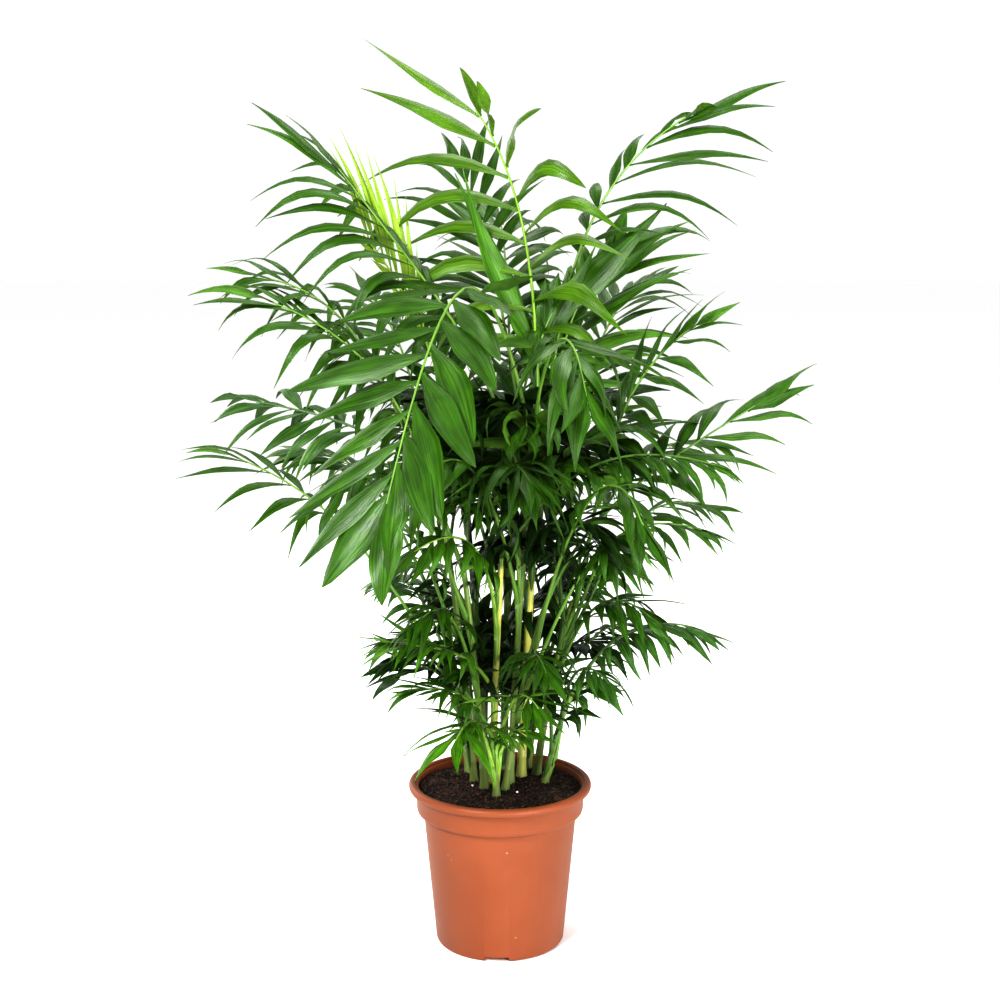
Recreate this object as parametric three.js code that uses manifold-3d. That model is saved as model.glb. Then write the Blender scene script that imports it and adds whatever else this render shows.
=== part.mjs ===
// Parlour palm in its terracotta-coloured nursery pot.
//
// Millimetres, +Z up, the front of the plant towards -Y. The origin is the centre of the
// pot's underside. Every mesh is one closed body, and none touches its neighbour.
//
//   pot, soil   turned bodies about Z, the pot with drainage notches cut in its foot
//   cane_*      tapered stems with a flared foot, from a flat cut on the soil
//   frond_*     a three-sided rib that arches out from a cane, with its leaflets grown in
//               pairs from the rib's two side faces

import * as THREE from 'three';
import { mergeVertices } from 'three/addons/utils/BufferGeometryUtils.js';
import Module from 'manifold-3d';

const wasm = await Module();
wasm.setup();

// ---------------------------------------------------------------- driving sizes

const GAP = 0.3; // clear space between pieces that touch in life
const TURNED_STEPS = 36; // flats round the pot and the soil

const POT = {
  height: 190,
  footRadius: 74, // outer radius on the ground
  footRound: 2.5,
  waistRadius: 88, // outer radius just under the band
  waistHeight: 154,
  bandRadius: 96, // straight band under the lip
  bandFoot: 161,
  bandRound: 1.5,
  lipRadius: 105, // widest part of the rolled lip
  lipHeight: 10.5,
  lipRound: 4, // of its top edge
  lipBevel: 2, // of its lower edge
  ledge: 3.5, // small step inside the lip
  wall: 1.8,
  floor: 8,
  notches: 3,
  notchWidth: 28,
  notchHeight: 5.5,
  notchDepth: 9, // how far a notch runs in from the foot's edge
  firstNotch: -93, // heading of the notch at the front, in degrees
};

const SOIL = {
  level: 183, // flat middle, where the canes stand
  edge: 179, // level against the pot's wall
  flatRadius: 78,
};

const CANE = {
  sides: 7,
  rings: 9,
  crowding: 1.4, // how much closer together the rings are in the flare
  flare: 1.35, // foot radius over the radius just above it
  flareHeight: 22,
  bendOut: 0.3, // place of the curve's middle point, as shares of the lean and the height
  bendUp: 0.5,
};

const FROND = {
  ribWidth: 5,
  ribHeight: 4.4,
  ribTipShare: 0.45, // rib size at its tip over that at its base
  bareSteps: 6, // stations on the bare stalk below the leaflets
  roomSteps: 70, // points along a rib or a cane that are tested for room
  room: 2.5, // clear space kept between ribs
};

// Where a value has two ends, they are those of the lowest and the last pair of a frond.
const LEAFLET = {
  root: 6.5, // length of rib that it grows from
  thickness: 1.7, // least thickness
  slenderness: 90, // most that its length is over its thickness
  room: 0.5, // clear space kept round it
  overSoil: 6, // least height above the soil
  overLip: 3, // least height above the pot's lip, outside its mouth
  insideMouth: 16, // and how far from the band it stays inside it
  fan: [54, 14], // degrees between it and the rib
  closing: 2, // how late along the rib they close up
  closedFan: [18, 20], // the same on a frond that has not opened
  fullest: 0.35, // place of the longest pair
  shorter: [0.35, 0.2], // how much shorter the two ends are than the longest
  droop: [1.2, 0.35], // share of its frond's hang
  bend: 0.42, // share of its length below the bend
  turning: 0.5, // share of its frond's sky that its flat blade follows
  unevenFan: 8, // degrees
  unevenLift: 10,
  unevenDroop: 14,
  unevenLength: 0.1,
};

const FINISH = {
  pot: { color: '#cb6940', roughness: 0.5 },
  soil: { color: '#33241b', roughness: 0.95 },
  cane: { color: '#93a056', roughness: 0.55 },
  paleCane: { color: '#bcbc70', roughness: 0.55 },
  leaf: { color: '#3f7d2c', roughness: 0.45 },
  youngLeaf: { color: '#93bf42', roughness: 0.45 },
};

// Stems. foot is [x, y] on the soil, top is [x, y, z], radius is [above the flare, at the top].
const CANES = {
  tall: { foot: [25, 30], top: [45, 5, 570], radius: [5.4, 3.6], pale: true },
  olive: { foot: [12, 6], top: [34, -14, 548], radius: [4.2, 3] },
  pale: { foot: [-9, 4], top: [2, -12, 452], radius: [5, 2.8], pale: true },
  left: { foot: [-18, -12], top: [-40, -30, 440], radius: [4.4, 3] },
  left_out: { foot: [-30, 12], top: [-66, 2, 505], radius: [4.2, 3] },
  left_back: { foot: [-17, 36], top: [-42, 40, 540], radius: [4.4, 3] },
  right: { foot: [6, -16], top: [45, -28, 385], radius: [4.2, 2.8] },
  right_out: { foot: [43, 36], top: [82, 0, 400], radius: [4.8, 3.2] },
  right_low: { foot: [52, 8], top: [84, -8, 300], radius: [4, 2.6] },
  back: { foot: [4, 58], top: [14, 96, 500], radius: [5.4, 3.4] },
  back_left: { foot: [-36, 44], top: [-76, 92, 400], radius: [5, 3] },
  back_right: { foot: [32, 60], top: [78, 104, 420], radius: [5, 3] },
  shoot: { foot: [-4, -38], top: [-6, -52, 262], radius: [4, 2.6] },
};

// Fronds. at is the place on the cane as a share of its length. heading is the way the frond
// points, in degrees from +X towards +Y. reach and rise place its tip from its base. launch and
// nod are its slopes at base and tip, bow how strongly it arches, and turn how far its base
// heads to one side of its tip. bare is the share of the rib below the first of its pairs of
// leaflets. leaf and wide are the longest leaflet's size, left and right shorten one side, fan
// opens them out, lift raises them above the frond's plane, hang bends them down again and roll
// tilts the plane itself. sweep turns the left leaflets in and the right ones out, in degrees.
// tail is how much of their length the right ones keep towards the tip, stiff how straight the
// last pair stands, sky how strongly the blades turn their upper side to the sky and wild how
// uneven the leaflets are. A closed frond has not opened yet.
const PLAIN_FROND = {
  turn: 0,
  roll: 0,
  fan: 1,
  sweep: 0,
  left: 1,
  right: 1,
  tail: 1,
  stiff: 0,
  sky: 1.2,
  wild: 1,
  closed: false,
};

const FRONDS = [
  { name: 'crest', cane: 'tall', at: 1, heading: 166, reach: 74, rise: 373, launch: 87, nod: 53,
    bow: 0.34, turn: 20, roll: -108, bare: 0.3, pairs: 8, leaf: 195, wide: 27, lift: 15, hang: 48,
    fan: 1.25, right: 1, tail: 0.35, stiff: 1 },
  { name: 'upper_right', cane: 'tall', at: 0.93, heading: 10, reach: 158, rise: 393, launch: 85,
    nod: 31, bow: 0.37, turn: 20, roll: 40, bare: 0.56, pairs: 9, leaf: 158, wide: 17, lift: -14,
    hang: 24, fan: 0.78, left: 0.42 },
  { name: 'front_sweep', cane: 'tall', at: 0.97, heading: 242, reach: 315, rise: 0, launch: 72,
    nod: -60, bow: 0.92, turn: -10, bare: 0.42, pairs: 10, leaf: 140, wide: 34, lift: 6, hang: 2,
    fan: 1.3, sweep: -16, sky: 0.1 },
  { name: 'back_upper', cane: 'tall', at: 0.85, heading: 129, reach: 125, rise: 365, launch: 75,
    nod: 60, bow: 0.4, roll: -30, bare: 0.4, pairs: 9, leaf: 120, wide: 15, lift: 5, hang: 38,
    wild: 1.5 },
  { name: 'centre_high', cane: 'olive', at: 1, heading: 281, reach: 250, rise: 110, launch: 81,
    nod: -50, bow: 0.5, turn: 4, bare: 0.4, pairs: 9, leaf: 115, wide: 24, lift: -5, hang: 40, fan: 0.8,
    sky: 0.5, wild: 1.6 },
  { name: 'spear', cane: 'left_back', at: 1, heading: 174, reach: 112, rise: 268, launch: 82, nod: 48,
    bow: 0.3, roll: -95, bare: 0.52, pairs: 6, leaf: 153, wide: 8.5, lift: 0, hang: 0, left: 0.2,
    closed: true },
  { name: 'upper_left', cane: 'olive', at: 0.95, heading: 172, reach: 205, rise: 350, launch: 75,
    nod: 52, bow: 0.42, turn: 4, roll: -20, bare: 0.45, pairs: 9, leaf: 154, wide: 19, lift: -15,
    hang: 60, fan: 0.9, right: 0.8, stiff: 0.7 },
  { name: 'right_back', cane: 'tall', at: 0.75, heading: 30, reach: 100, rise: 320, launch: 74, nod: 48,
    bow: 0.4, turn: 20, roll: 40, bare: 0.4, pairs: 9, leaf: 150, wide: 24, lift: 5, hang: 20, fan: 0.8,
    left: 0.5, wild: 1.3 },
  { name: 'left_upper', cane: 'left_out', at: 1, heading: 193, reach: 185, rise: 256, launch: 62,
    nod: 12, bow: 0.36, roll: -25, bare: 0.4, pairs: 10, leaf: 105, wide: 14, lift: 0, hang: 58,
    wild: 1.4 },
  { name: 'left_lower', cane: 'left', at: 1, heading: 197, reach: 205, rise: 298, launch: 66, nod: 22,
    bow: 0.42, turn: 15, roll: -30, bare: 0.4, pairs: 10, leaf: 120, wide: 15, lift: 0, hang: 55,
    wild: 1.4 },
  { name: 'left_dark', cane: 'left_back', at: 0.9, heading: 168, reach: 245, rise: 112, launch: 45,
    nod: 8, bow: 0.4, roll: -20, bare: 0.45, pairs: 9, leaf: 96, wide: 19, lift: -5, hang: 50,
    wild: 1.6 },
  { name: 'far_left', cane: 'left', at: 0.4, heading: 182, reach: 256, rise: 280, launch: 53, nod: 22,
    bow: 0.37, turn: -6, roll: -15, bare: 0.62, pairs: 8, leaf: 110, wide: 14, lift: 0, hang: 35,
    wild: 1.3 },
  { name: 'left_mid', cane: 'left_out', at: 0.55, heading: 212, reach: 122, rise: 125, launch: 58,
    nod: -30, bow: 0.5, turn: 15, bare: 0.35, pairs: 8, leaf: 85, wide: 12, lift: -5, hang: 43,
    wild: 2 },
  { name: 'mid_left', cane: 'pale', at: 0.68, heading: 238, reach: 160, rise: 120, launch: 75, nod: -20,
    bow: 0.46, turn: 20, bare: 0.35, pairs: 8, leaf: 80, wide: 16, lift: -20, hang: 62, wild: 2 },
  { name: 'left_small', cane: 'left_back', at: 0.5, heading: 160, reach: 98, rise: 50, launch: 80,
    nod: -42, bow: 0.5, turn: 10, bare: 0.35, pairs: 7, leaf: 70, wide: 10, lift: -10, hang: 40,
    wild: 2 },
  { name: 'right_up', cane: 'right_out', at: 0.98, heading: 335, reach: 135, rise: 318, launch: 75,
    nod: 33, bow: 0.36, turn: -10, roll: 45, bare: 0.45, pairs: 9, leaf: 92, wide: 18, lift: 5,
    hang: 24, fan: 1, sweep: -12, wild: 1.6 },
  { name: 'far_right', cane: 'right', at: 1, heading: 358, reach: 232, rise: 240, launch: 72, nod: 32,
    bow: 0.38, turn: -6, roll: 30, bare: 0.5, pairs: 8, leaf: 110, wide: 19, lift: 0, hang: 28,
    stiff: 0.6, wild: 1.4 },
  { name: 'right_comb', cane: 'pale', at: 1, heading: 340, reach: 240, rise: 115, launch: 55, nod: -15,
    bow: 0.45, turn: -15, bare: 0.4, pairs: 10, leaf: 64, wide: 10, lift: -25, hang: 72, wild: 1.8 },
  { name: 'right_low', cane: 'right', at: 0.6, heading: 326, reach: 215, rise: 205, launch: 60,
    nod: -12, bow: 0.42, turn: -15, bare: 0.45, pairs: 10, leaf: 62, wide: 10, lift: -20, hang: 64,
    wild: 2 },
  { name: 'centre_low', cane: 'right', at: 0.85, heading: 297, reach: 225, rise: 165, launch: 72,
    nod: -55, bow: 0.49, turn: 8, bare: 0.4, pairs: 9, leaf: 85, wide: 15, lift: -10, hang: 40,
    wild: 2 },
  { name: 'lower_right', cane: 'right_low', at: 1, heading: 325, reach: 150, rise: 92, launch: 55,
    nod: -6, bow: 0.4, turn: -10, bare: 0.25, pairs: 8, leaf: 76, wide: 14, lift: -20, hang: 50,
    wild: 1.6 },
  { name: 'lower_right_small', cane: 'right_low', at: 0.6, heading: 292, reach: 125, rise: 85,
    launch: 66, nod: -24, bow: 0.44, turn: -15, bare: 0.45, pairs: 7, leaf: 62, wide: 10, lift: -10,
    hang: 38, wild: 2 },
  { name: 'lower_left', cane: 'pale', at: 0.42, heading: 222, reach: 140, rise: 80, launch: 55, nod: 10,
    bow: 0.4, turn: 15, bare: 0.4, pairs: 8, leaf: 78, wide: 13, lift: 0, hang: 30, wild: 2 },
  { name: 'lower_left_small', cane: 'shoot', at: 0.95, heading: 216, reach: 98, rise: 70, launch: 65,
    nod: 0, bow: 0.42, turn: 10, bare: 0.3, pairs: 8, leaf: 68, wide: 10, lift: -5, hang: 36, wild: 2 },
  { name: 'low_front', cane: 'shoot', at: 0.5, heading: 240, reach: 78, rise: 50, launch: 75, nod: -30,
    bow: 0.6, bare: 0.3, pairs: 5, leaf: 84, wide: 15, lift: 5, hang: 22, fan: 1.4, wild: 1.5 },
  { name: 'low_front_right', cane: 'shoot', at: 0.8, heading: 305, reach: 76, rise: 62, launch: 70,
    nod: -35, bow: 0.5, bare: 0.35, pairs: 5, leaf: 84, wide: 13, lift: 5, hang: 25, fan: 1.3,
    wild: 1.5 },
  // fronds that fill the middle
  { name: 'right_mid', cane: 'right_out', at: 0.75, heading: 8, reach: 160, rise: 160, launch: 60,
    nod: -10, bow: 0.45, bare: 0.38, pairs: 9, leaf: 80, wide: 12, lift: -20, hang: 48, wild: 2 },
  { name: 'right_small', cane: 'right_out', at: 0.45, heading: 18, reach: 110, rise: 75, launch: 58,
    nod: -20, bow: 0.45, bare: 0.38, pairs: 7, leaf: 62, wide: 10, lift: -10, hang: 40, wild: 2 },
  { name: 'front_mid', cane: 'olive', at: 0.6, heading: 236, reach: 190, rise: 150, launch: 72,
    nod: -40, bow: 0.5, bare: 0.42, pairs: 7, leaf: 90, wide: 17, lift: -10, hang: 40, wild: 3 },
  { name: 'front_left_mid', cane: 'left', at: 0.8, heading: 226, reach: 180, rise: 165, launch: 65,
    nod: -35, bow: 0.5, bare: 0.38, pairs: 9, leaf: 95, wide: 14, lift: -10, hang: 40, wild: 2 },
  { name: 'inner_back', cane: 'back', at: 0.75, heading: 318, reach: 150, rise: 150, launch: 75,
    nod: -20, bow: 0.45, bare: 0.35, pairs: 8, leaf: 95, wide: 18, lift: -5, hang: 52, wild: 2 },
  { name: 'inner_left', cane: 'left_back', at: 0.68, heading: 20, reach: 130, rise: 150, launch: 75,
    nod: -15, bow: 0.45, bare: 0.35, pairs: 8, leaf: 90, wide: 16, lift: -5, hang: 52, wild: 2 },
  { name: 'inner_front', cane: 'right_out', at: 0.88, heading: 292, reach: 112, rise: 120, launch: 72,
    nod: -30, bow: 0.5, bare: 0.35, pairs: 8, leaf: 80, wide: 16, lift: -5, hang: 52, wild: 2 },
  { name: 'inner_low', cane: 'right_low', at: 0.35, heading: 262, reach: 75, rise: 80, launch: 75,
    nod: -30, bow: 0.5, bare: 0.3, pairs: 7, leaf: 62, wide: 10, lift: -5, hang: 36, wild: 2 },
  { name: 'inner_low_left', cane: 'left_out', at: 0.16, heading: 205, reach: 80, rise: 85, launch: 75,
    nod: -25, bow: 0.5, bare: 0.3, pairs: 7, leaf: 66, wide: 10, lift: -5, hang: 36, wild: 2 },
  // the back half of the crown
  { name: 'back_high', cane: 'back', at: 1, heading: 95, reach: 165, rise: 330, launch: 80, nod: 25,
    bow: 0.42, bare: 0.38, pairs: 10, leaf: 130, wide: 18, lift: 0, hang: 40, wild: 1.4 },
  { name: 'back_sweep', cane: 'back', at: 0.92, heading: 72, reach: 215, rise: 140, launch: 76,
    nod: -40, bow: 0.6, turn: 8, bare: 0.42, pairs: 10, leaf: 122, wide: 20, lift: 0, hang: 40,
    wild: 1.3 },
  { name: 'back_out', cane: 'back', at: 0.72, heading: 118, reach: 200, rise: 190, launch: 65, nod: 0,
    bow: 0.42, bare: 0.4, pairs: 9, leaf: 110, wide: 16, lift: -5, hang: 48, wild: 1.5 },
  { name: 'back_left_high', cane: 'back_left', at: 1, heading: 122, reach: 165, rise: 335, launch: 78,
    nod: 25, bow: 0.42, bare: 0.4, pairs: 9, leaf: 110, wide: 16, lift: 0, hang: 42, wild: 1.4 },
  { name: 'back_left_wide', cane: 'back_left', at: 0.85, heading: 150, reach: 200, rise: 180,
    launch: 60, nod: -5, bow: 0.42, bare: 0.38, pairs: 9, leaf: 100, wide: 15, lift: -5, hang: 50,
    wild: 1.5 },
  { name: 'back_left_low', cane: 'back_left', at: 0.5, heading: 128, reach: 142, rise: 95, launch: 60,
    nod: -20, bow: 0.42, bare: 0.38, pairs: 8, leaf: 70, wide: 14, lift: -10, hang: 52, wild: 1.6 },
  { name: 'back_right_high', cane: 'back_right', at: 1, heading: 55, reach: 175, rise: 330, launch: 78,
    nod: 20, bow: 0.42, bare: 0.4, pairs: 9, leaf: 115, wide: 16, lift: 0, hang: 42, wild: 1.4 },
  { name: 'back_right_wide', cane: 'back_right', at: 0.85, heading: 26, reach: 195, rise: 175,
    launch: 60, nod: -5, bow: 0.42, bare: 0.38, pairs: 9, leaf: 95, wide: 16, lift: -10, hang: 50,
    wild: 1.5 },
  { name: 'back_right_low', cane: 'back_right', at: 0.5, heading: 52, reach: 170, rise: 90, launch: 60,
    nod: -20, bow: 0.42, bare: 0.38, pairs: 8, leaf: 75, wide: 14, lift: -10, hang: 52, wild: 1.6 },
  { name: 'back_low', cane: 'back', at: 0.45, heading: 92, reach: 190, rise: 80, launch: 62, nod: -25,
    bow: 0.45, bare: 0.4, pairs: 8, leaf: 80, wide: 14, lift: -10, hang: 52, wild: 1.6 },
];

// ---------------------------------------------------------------- small helpers

/** Repeatable spread between -1 and 1 for the step-th choice of a numbered thing. */
function spread(seed, step) {
  const wave = Math.sin(seed * 12.9 + step * 78.2) * 437.58;
  return 2 * (wave - Math.floor(wave)) - 1;
}

/** Value a share of the way from one number to another. */
function blend(from, to, share) {
  return from + (to - from) * share;
}

/** Unit vector with a heading from +X towards +Y and a slope above level, both in degrees. */
function pointing(heading, slope) {
  const turn = THREE.MathUtils.degToRad(heading);
  const climb = THREE.MathUtils.degToRad(slope);
  const level = Math.cos(climb);
  return new THREE.Vector3(Math.cos(turn) * level, Math.sin(turn) * level, Math.sin(climb));
}

/** Closed mesh geometry from points and triangles that share them. */
function geometryOf(points, faces) {
  const places = points.flatMap((point) => point.toArray());
  const geometry = new THREE.BufferGeometry();
  geometry.setAttribute('position', new THREE.Float32BufferAttribute(places, 3));
  geometry.setIndex(faces.flat());
  geometry.computeVertexNormals();
  return geometry;
}

/** manifold-3d solid of a closed three.js geometry. */
function solidOf(geometry) {
  const bare = geometry.clone();
  bare.deleteAttribute('normal');
  bare.deleteAttribute('uv');
  const welded = mergeVertices(bare, 1e-3);
  return new wasm.Manifold(new wasm.Mesh({
    numProp: 3,
    vertProperties: new Float32Array(welded.attributes.position.array),
    triVerts: new Uint32Array(welded.index.array),
  }));
}

/** three.js geometry of a manifold-3d solid. */
function geometryOfSolid(solid) {
  const { vertProperties, triVerts } = solid.getMesh();
  const geometry = new THREE.BufferGeometry();
  geometry.setAttribute('position', new THREE.Float32BufferAttribute(vertProperties, 3));
  geometry.setIndex(new THREE.Uint32BufferAttribute(triVerts, 1));
  geometry.computeVertexNormals();
  return geometry;
}

/** Body turned about Z from an outline of [radius, height] pairs, bottom to top outside first. */
function turned(outline) {
  const profile = outline.map(([radius, height]) => new THREE.Vector2(radius, height));
  return new THREE.LatheGeometry(profile, TURNED_STEPS).rotateX(Math.PI / 2);
}

/** Points on an arc about [radius, height], between two angles in degrees, both ends kept. */
function arc(centre, size, from, to, steps) {
  const points = [];
  for (let step = 0; step <= steps; step += 1) {
    const angle = THREE.MathUtils.degToRad(blend(from, to, step / steps));
    points.push([centre[0] + size * Math.cos(angle), centre[1] + size * Math.sin(angle)]);
  }
  return points;
}

/** Named mesh with one of the finishes. */
function named(name, geometry, finish) {
  const mesh = new THREE.Mesh(geometry, new THREE.MeshStandardMaterial({ ...finish, metalness: 0 }));
  mesh.name = name;
  return mesh;
}

// ---------------------------------------------------------------- pot and soil

/** Inner radius of the pot at a height, on its straight tapered wall. */
function potBore(height) {
  return blend(POT.footRadius, POT.waistRadius, height / POT.waistHeight) - POT.wall;
}

/** Outline of the pot: a round-edged foot, a tapered wall, a wider band and a rolled lip. */
function potOutline() {
  const { height, footRadius, footRound, bandRadius, bandFoot, lipRadius, lipRound, lipBevel, ledge } = POT;
  const lipFoot = height - POT.lipHeight;
  const mouth = bandRadius - POT.wall;
  return [
    [0, 0],
    [footRadius - footRound, 0],
    ...arc([footRadius - footRound, footRound], footRound, -60, 0, 2),
    [POT.waistRadius, POT.waistHeight],
    [bandRadius - POT.bandRound, bandFoot - 2 * POT.bandRound],
    [bandRadius, bandFoot],
    [bandRadius, lipFoot],
    [lipRadius - lipBevel, lipFoot],
    [lipRadius, lipFoot + lipBevel],
    ...arc([lipRadius - lipRound, height - lipRound], lipRound, 0, 90, 3),
    [mouth + ledge, height],
    [mouth + ledge, height - ledge],
    [mouth, height - ledge],
    [mouth, bandFoot],
    [potBore(POT.waistHeight), POT.waistHeight],
    [potBore(POT.floor), POT.floor],
    [0, POT.floor],
  ];
}

/** Nursery pot, with drainage notches cut through the edge of its foot. */
function makePot() {
  let pot = solidOf(turned(potOutline()));
  for (let notch = 0; notch < POT.notches; notch += 1) {
    const cutter = new THREE.BoxGeometry(POT.notchDepth * 2, POT.notchWidth, POT.notchHeight * 2);
    cutter.translate(POT.footRadius, 0, 0);
    cutter.rotateZ(THREE.MathUtils.degToRad(POT.firstNotch + (notch * 360) / POT.notches));
    pot = pot.subtract(solidOf(cutter));
  }
  return named('pot', geometryOfSolid(pot), FINISH.pot);
}

/** Potting soil that fills the pot, level in the middle and lower against the wall. */
function makeSoil() {
  const mouth = POT.bandRadius - POT.wall - GAP;
  const outline = [
    [0, POT.floor + GAP],
    [potBore(POT.floor) - GAP, POT.floor + GAP],
    [potBore(POT.waistHeight) - GAP, POT.waistHeight],
    [mouth, POT.bandFoot + GAP],
    [mouth, SOIL.edge],
    [SOIL.flatRadius, SOIL.level],
    [0, SOIL.level],
  ];
  return named('soil', geometryOfSolid(solidOf(turned(outline))), FINISH.soil);
}

// ---------------------------------------------------------------- canes

/** Centre line of a cane: upright at the foot, leaning out towards its top. */
function caneLine({ foot, top }) {
  const start = new THREE.Vector3(foot[0], foot[1], SOIL.level + GAP);
  const end = new THREE.Vector3(...top);
  const bend = new THREE.Vector3(
    blend(start.x, end.x, CANE.bendOut),
    blend(start.y, end.y, CANE.bendOut),
    blend(start.z, end.z, CANE.bendUp),
  );
  return new THREE.QuadraticBezierCurve3(start, bend, end);
}

/** Radius of a cane a share of the way up, with the flare at its foot. */
function caneRadius({ radius, top }, share) {
  const climbed = share * (top[2] - SOIL.level);
  const flare = 1 + (CANE.flare - 1) * Math.max(0, 1 - climbed / CANE.flareHeight) ** 2;
  return blend(radius[0], radius[1], share) * flare;
}

/** Rings of points up a cane, from a flat level cut at its foot to a square cut at its top. */
function caneRings(cane) {
  const line = caneLine(cane);
  const upright = new THREE.Vector3(0, 0, 1);
  return Array.from({ length: CANE.rings }, (_, ring) => {
    const share = (ring / (CANE.rings - 1)) ** CANE.crowding;
    const centre = line.getPoint(share);
    const along = ring === 0 ? upright : line.getTangent(share);
    const turn = new THREE.Quaternion().setFromUnitVectors(upright, along);
    return Array.from({ length: CANE.sides }, (__, side) => {
      const angle = (2 * Math.PI * side) / CANE.sides;
      const spoke = new THREE.Vector3(Math.cos(angle), Math.sin(angle), 0).applyQuaternion(turn);
      return spoke.multiplyScalar(caneRadius(cane, share)).add(centre);
    });
  });
}

/** Triangles of a closed rod through rings of points that all have the same count. */
function rodFaces(ringCount, sides) {
  const faces = [];
  const last = (ringCount - 1) * sides;
  for (let side = 0; side < sides; side += 1) {
    const next = (side + 1) % sides;
    for (let low = 0; low < last; low += sides) {
      const high = low + sides;
      faces.push([low + side, low + next, high + next], [low + side, high + next, high + side]);
    }
    if (side > 0 && next > 0) {
      faces.push([0, next, side], [last, last + side, last + next]);
    }
  }
  return faces;
}

/** Stem from the soil to where its last frond leaves it. */
function makeCane(name, cane) {
  const geometry = geometryOf(caneRings(cane).flat(), rodFaces(CANE.rings, CANE.sides));
  return named(`cane_${name}`, geometry, cane.pale ? FINISH.paleCane : FINISH.cane);
}

// ---------------------------------------------------------------- room between pieces

const END_SHARE = 1e-3; // so much of an edge counts as its end point

/** Closed piece used to test that a leaflet has room. */
class Piece {
  constructor(points, faces) {
    this.points = points;
    this.faces = faces;
    this.box = new THREE.Box3().setFromPoints(points);
    this.edges = faces.flatMap(([a, b, c]) => [[a, b], [b, c], [c, a]]).filter(([a, b]) => a < b);
  }

  /** Whether an edge of this piece passes through a face of another, between its two ends. */
  pierces(other) {
    const hit = new THREE.Vector3();
    const ray = new THREE.Ray();
    return this.edges.some(([a, b]) => {
      const length = this.points[a].distanceTo(this.points[b]);
      ray.origin.copy(this.points[a]);
      ray.direction.copy(this.points[b]).sub(this.points[a]).divideScalar(length);
      return other.faces.some(([i, j, k]) => {
        const [one, two, three] = [other.points[i], other.points[j], other.points[k]];
        const share = ray.intersectTriangle(one, two, three, false, hit)
          ? hit.distanceTo(ray.origin) / length : 0;
        return share > END_SHARE && share < 1 - END_SHARE;
      });
    });
  }

  /** Whether the two pieces cross. */
  crosses(other) {
    return this.box.intersectsBox(other.box) && (this.pierces(other) || other.pierces(this));
  }
}

/** Pieces between each ring of a rod and the next. */
function rodPieces(rings) {
  const faces = rodFaces(2, rings[0].length);
  return rings.slice(1).map((high, index) => new Piece([...rings[index], ...high], faces));
}

// ---------------------------------------------------------------- fronds

/** Curve of a frond's rib, from the cane that bears it out to its tip. */
function ribLine(row, turn) {
  const cane = CANES[row.cane];
  const onCane = caneLine(cane).getPoint(row.at);
  const start = onCane.clone();
  const outset = pointing(row.heading + turn, row.launch);
  if (row.at === 1) {
    const along = caneLine(cane).getTangent(1);
    const skew = Math.sin(along.angleTo(outset)) * (FROND.ribWidth / 2);
    start.addScaledVector(along, 2 * GAP + skew);
  } else {
    const away = pointing(row.heading + turn, 0);
    start.addScaledVector(away, caneRadius(cane, row.at) + FROND.ribHeight / 2 + GAP);
  }
  const end = pointing(row.heading, 0).multiplyScalar(row.reach).add(start);
  end.z += row.rise;
  const handle = start.distanceTo(end) * row.bow;
  const leave = outset.multiplyScalar(handle).add(start);
  const arrive = pointing(row.heading - turn / 2, row.nod).multiplyScalar(-handle).add(end);
  return new THREE.CubicBezierCurve3(start, leave, arrive, end);
}

/** Size of a rib a share of the way along it, as a share of its size at the base. */
function ribScale(share) {
  return blend(1, FROND.ribTipShare, share);
}

/** Stations along a rib: a bare stalk, then a start and an end for each pair of leaflets. */
function ribShares(row, length) {
  const shares = [];
  for (let step = 0; step < FROND.bareSteps; step += 1) {
    shares.push((row.bare * step) / FROND.bareSteps);
  }
  const root = LEAFLET.root / length;
  const pitch = (1 - row.bare - 2 * root) / (row.pairs - 1);
  for (let pair = 0; pair < row.pairs; pair += 1) {
    shares.push(row.bare + pitch * pair, row.bare + pitch * pair + root);
  }
  shares.push(1);
  return shares;
}

/** Rings of three points (left, bottom, right) and the axes at every station of a rib. */
function ribRings(row, line) {
  const side = pointing(row.heading - 90, 0);
  return ribShares(row, line.getLength()).map((share) => {
    const centre = line.getPointAt(share);
    const along = line.getTangentAt(share);
    const tilt = THREE.MathUtils.degToRad(row.roll * THREE.MathUtils.smoothstep(share, 0, row.bare));
    const up = side.clone().cross(along).normalize().applyAxisAngle(along, tilt);
    const across = along.clone().cross(up);
    const scale = ribScale(share);
    const half = (FROND.ribWidth * scale) / 2;
    const height = FROND.ribHeight * scale;
    const corner = (x, z) => centre.clone().addScaledVector(across, x).addScaledVector(up, z);
    return {
      centre,
      along,
      up,
      across,
      points: [corner(-half, height / 3), corner(0, (-2 * height) / 3), corner(half, height / 3)],
    };
  });
}

/** Share of the longest leaflet's length that a pair has, from its place along the leafy rib. */
function leafletTaper(place) {
  const fullest = LEAFLET.fullest;
  const away = place < fullest ? (fullest - place) / fullest : (place - fullest) / (1 - fullest);
  return 1 - LEAFLET.shorter[place < fullest ? 0 : 1] * away ** 2;
}

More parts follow.
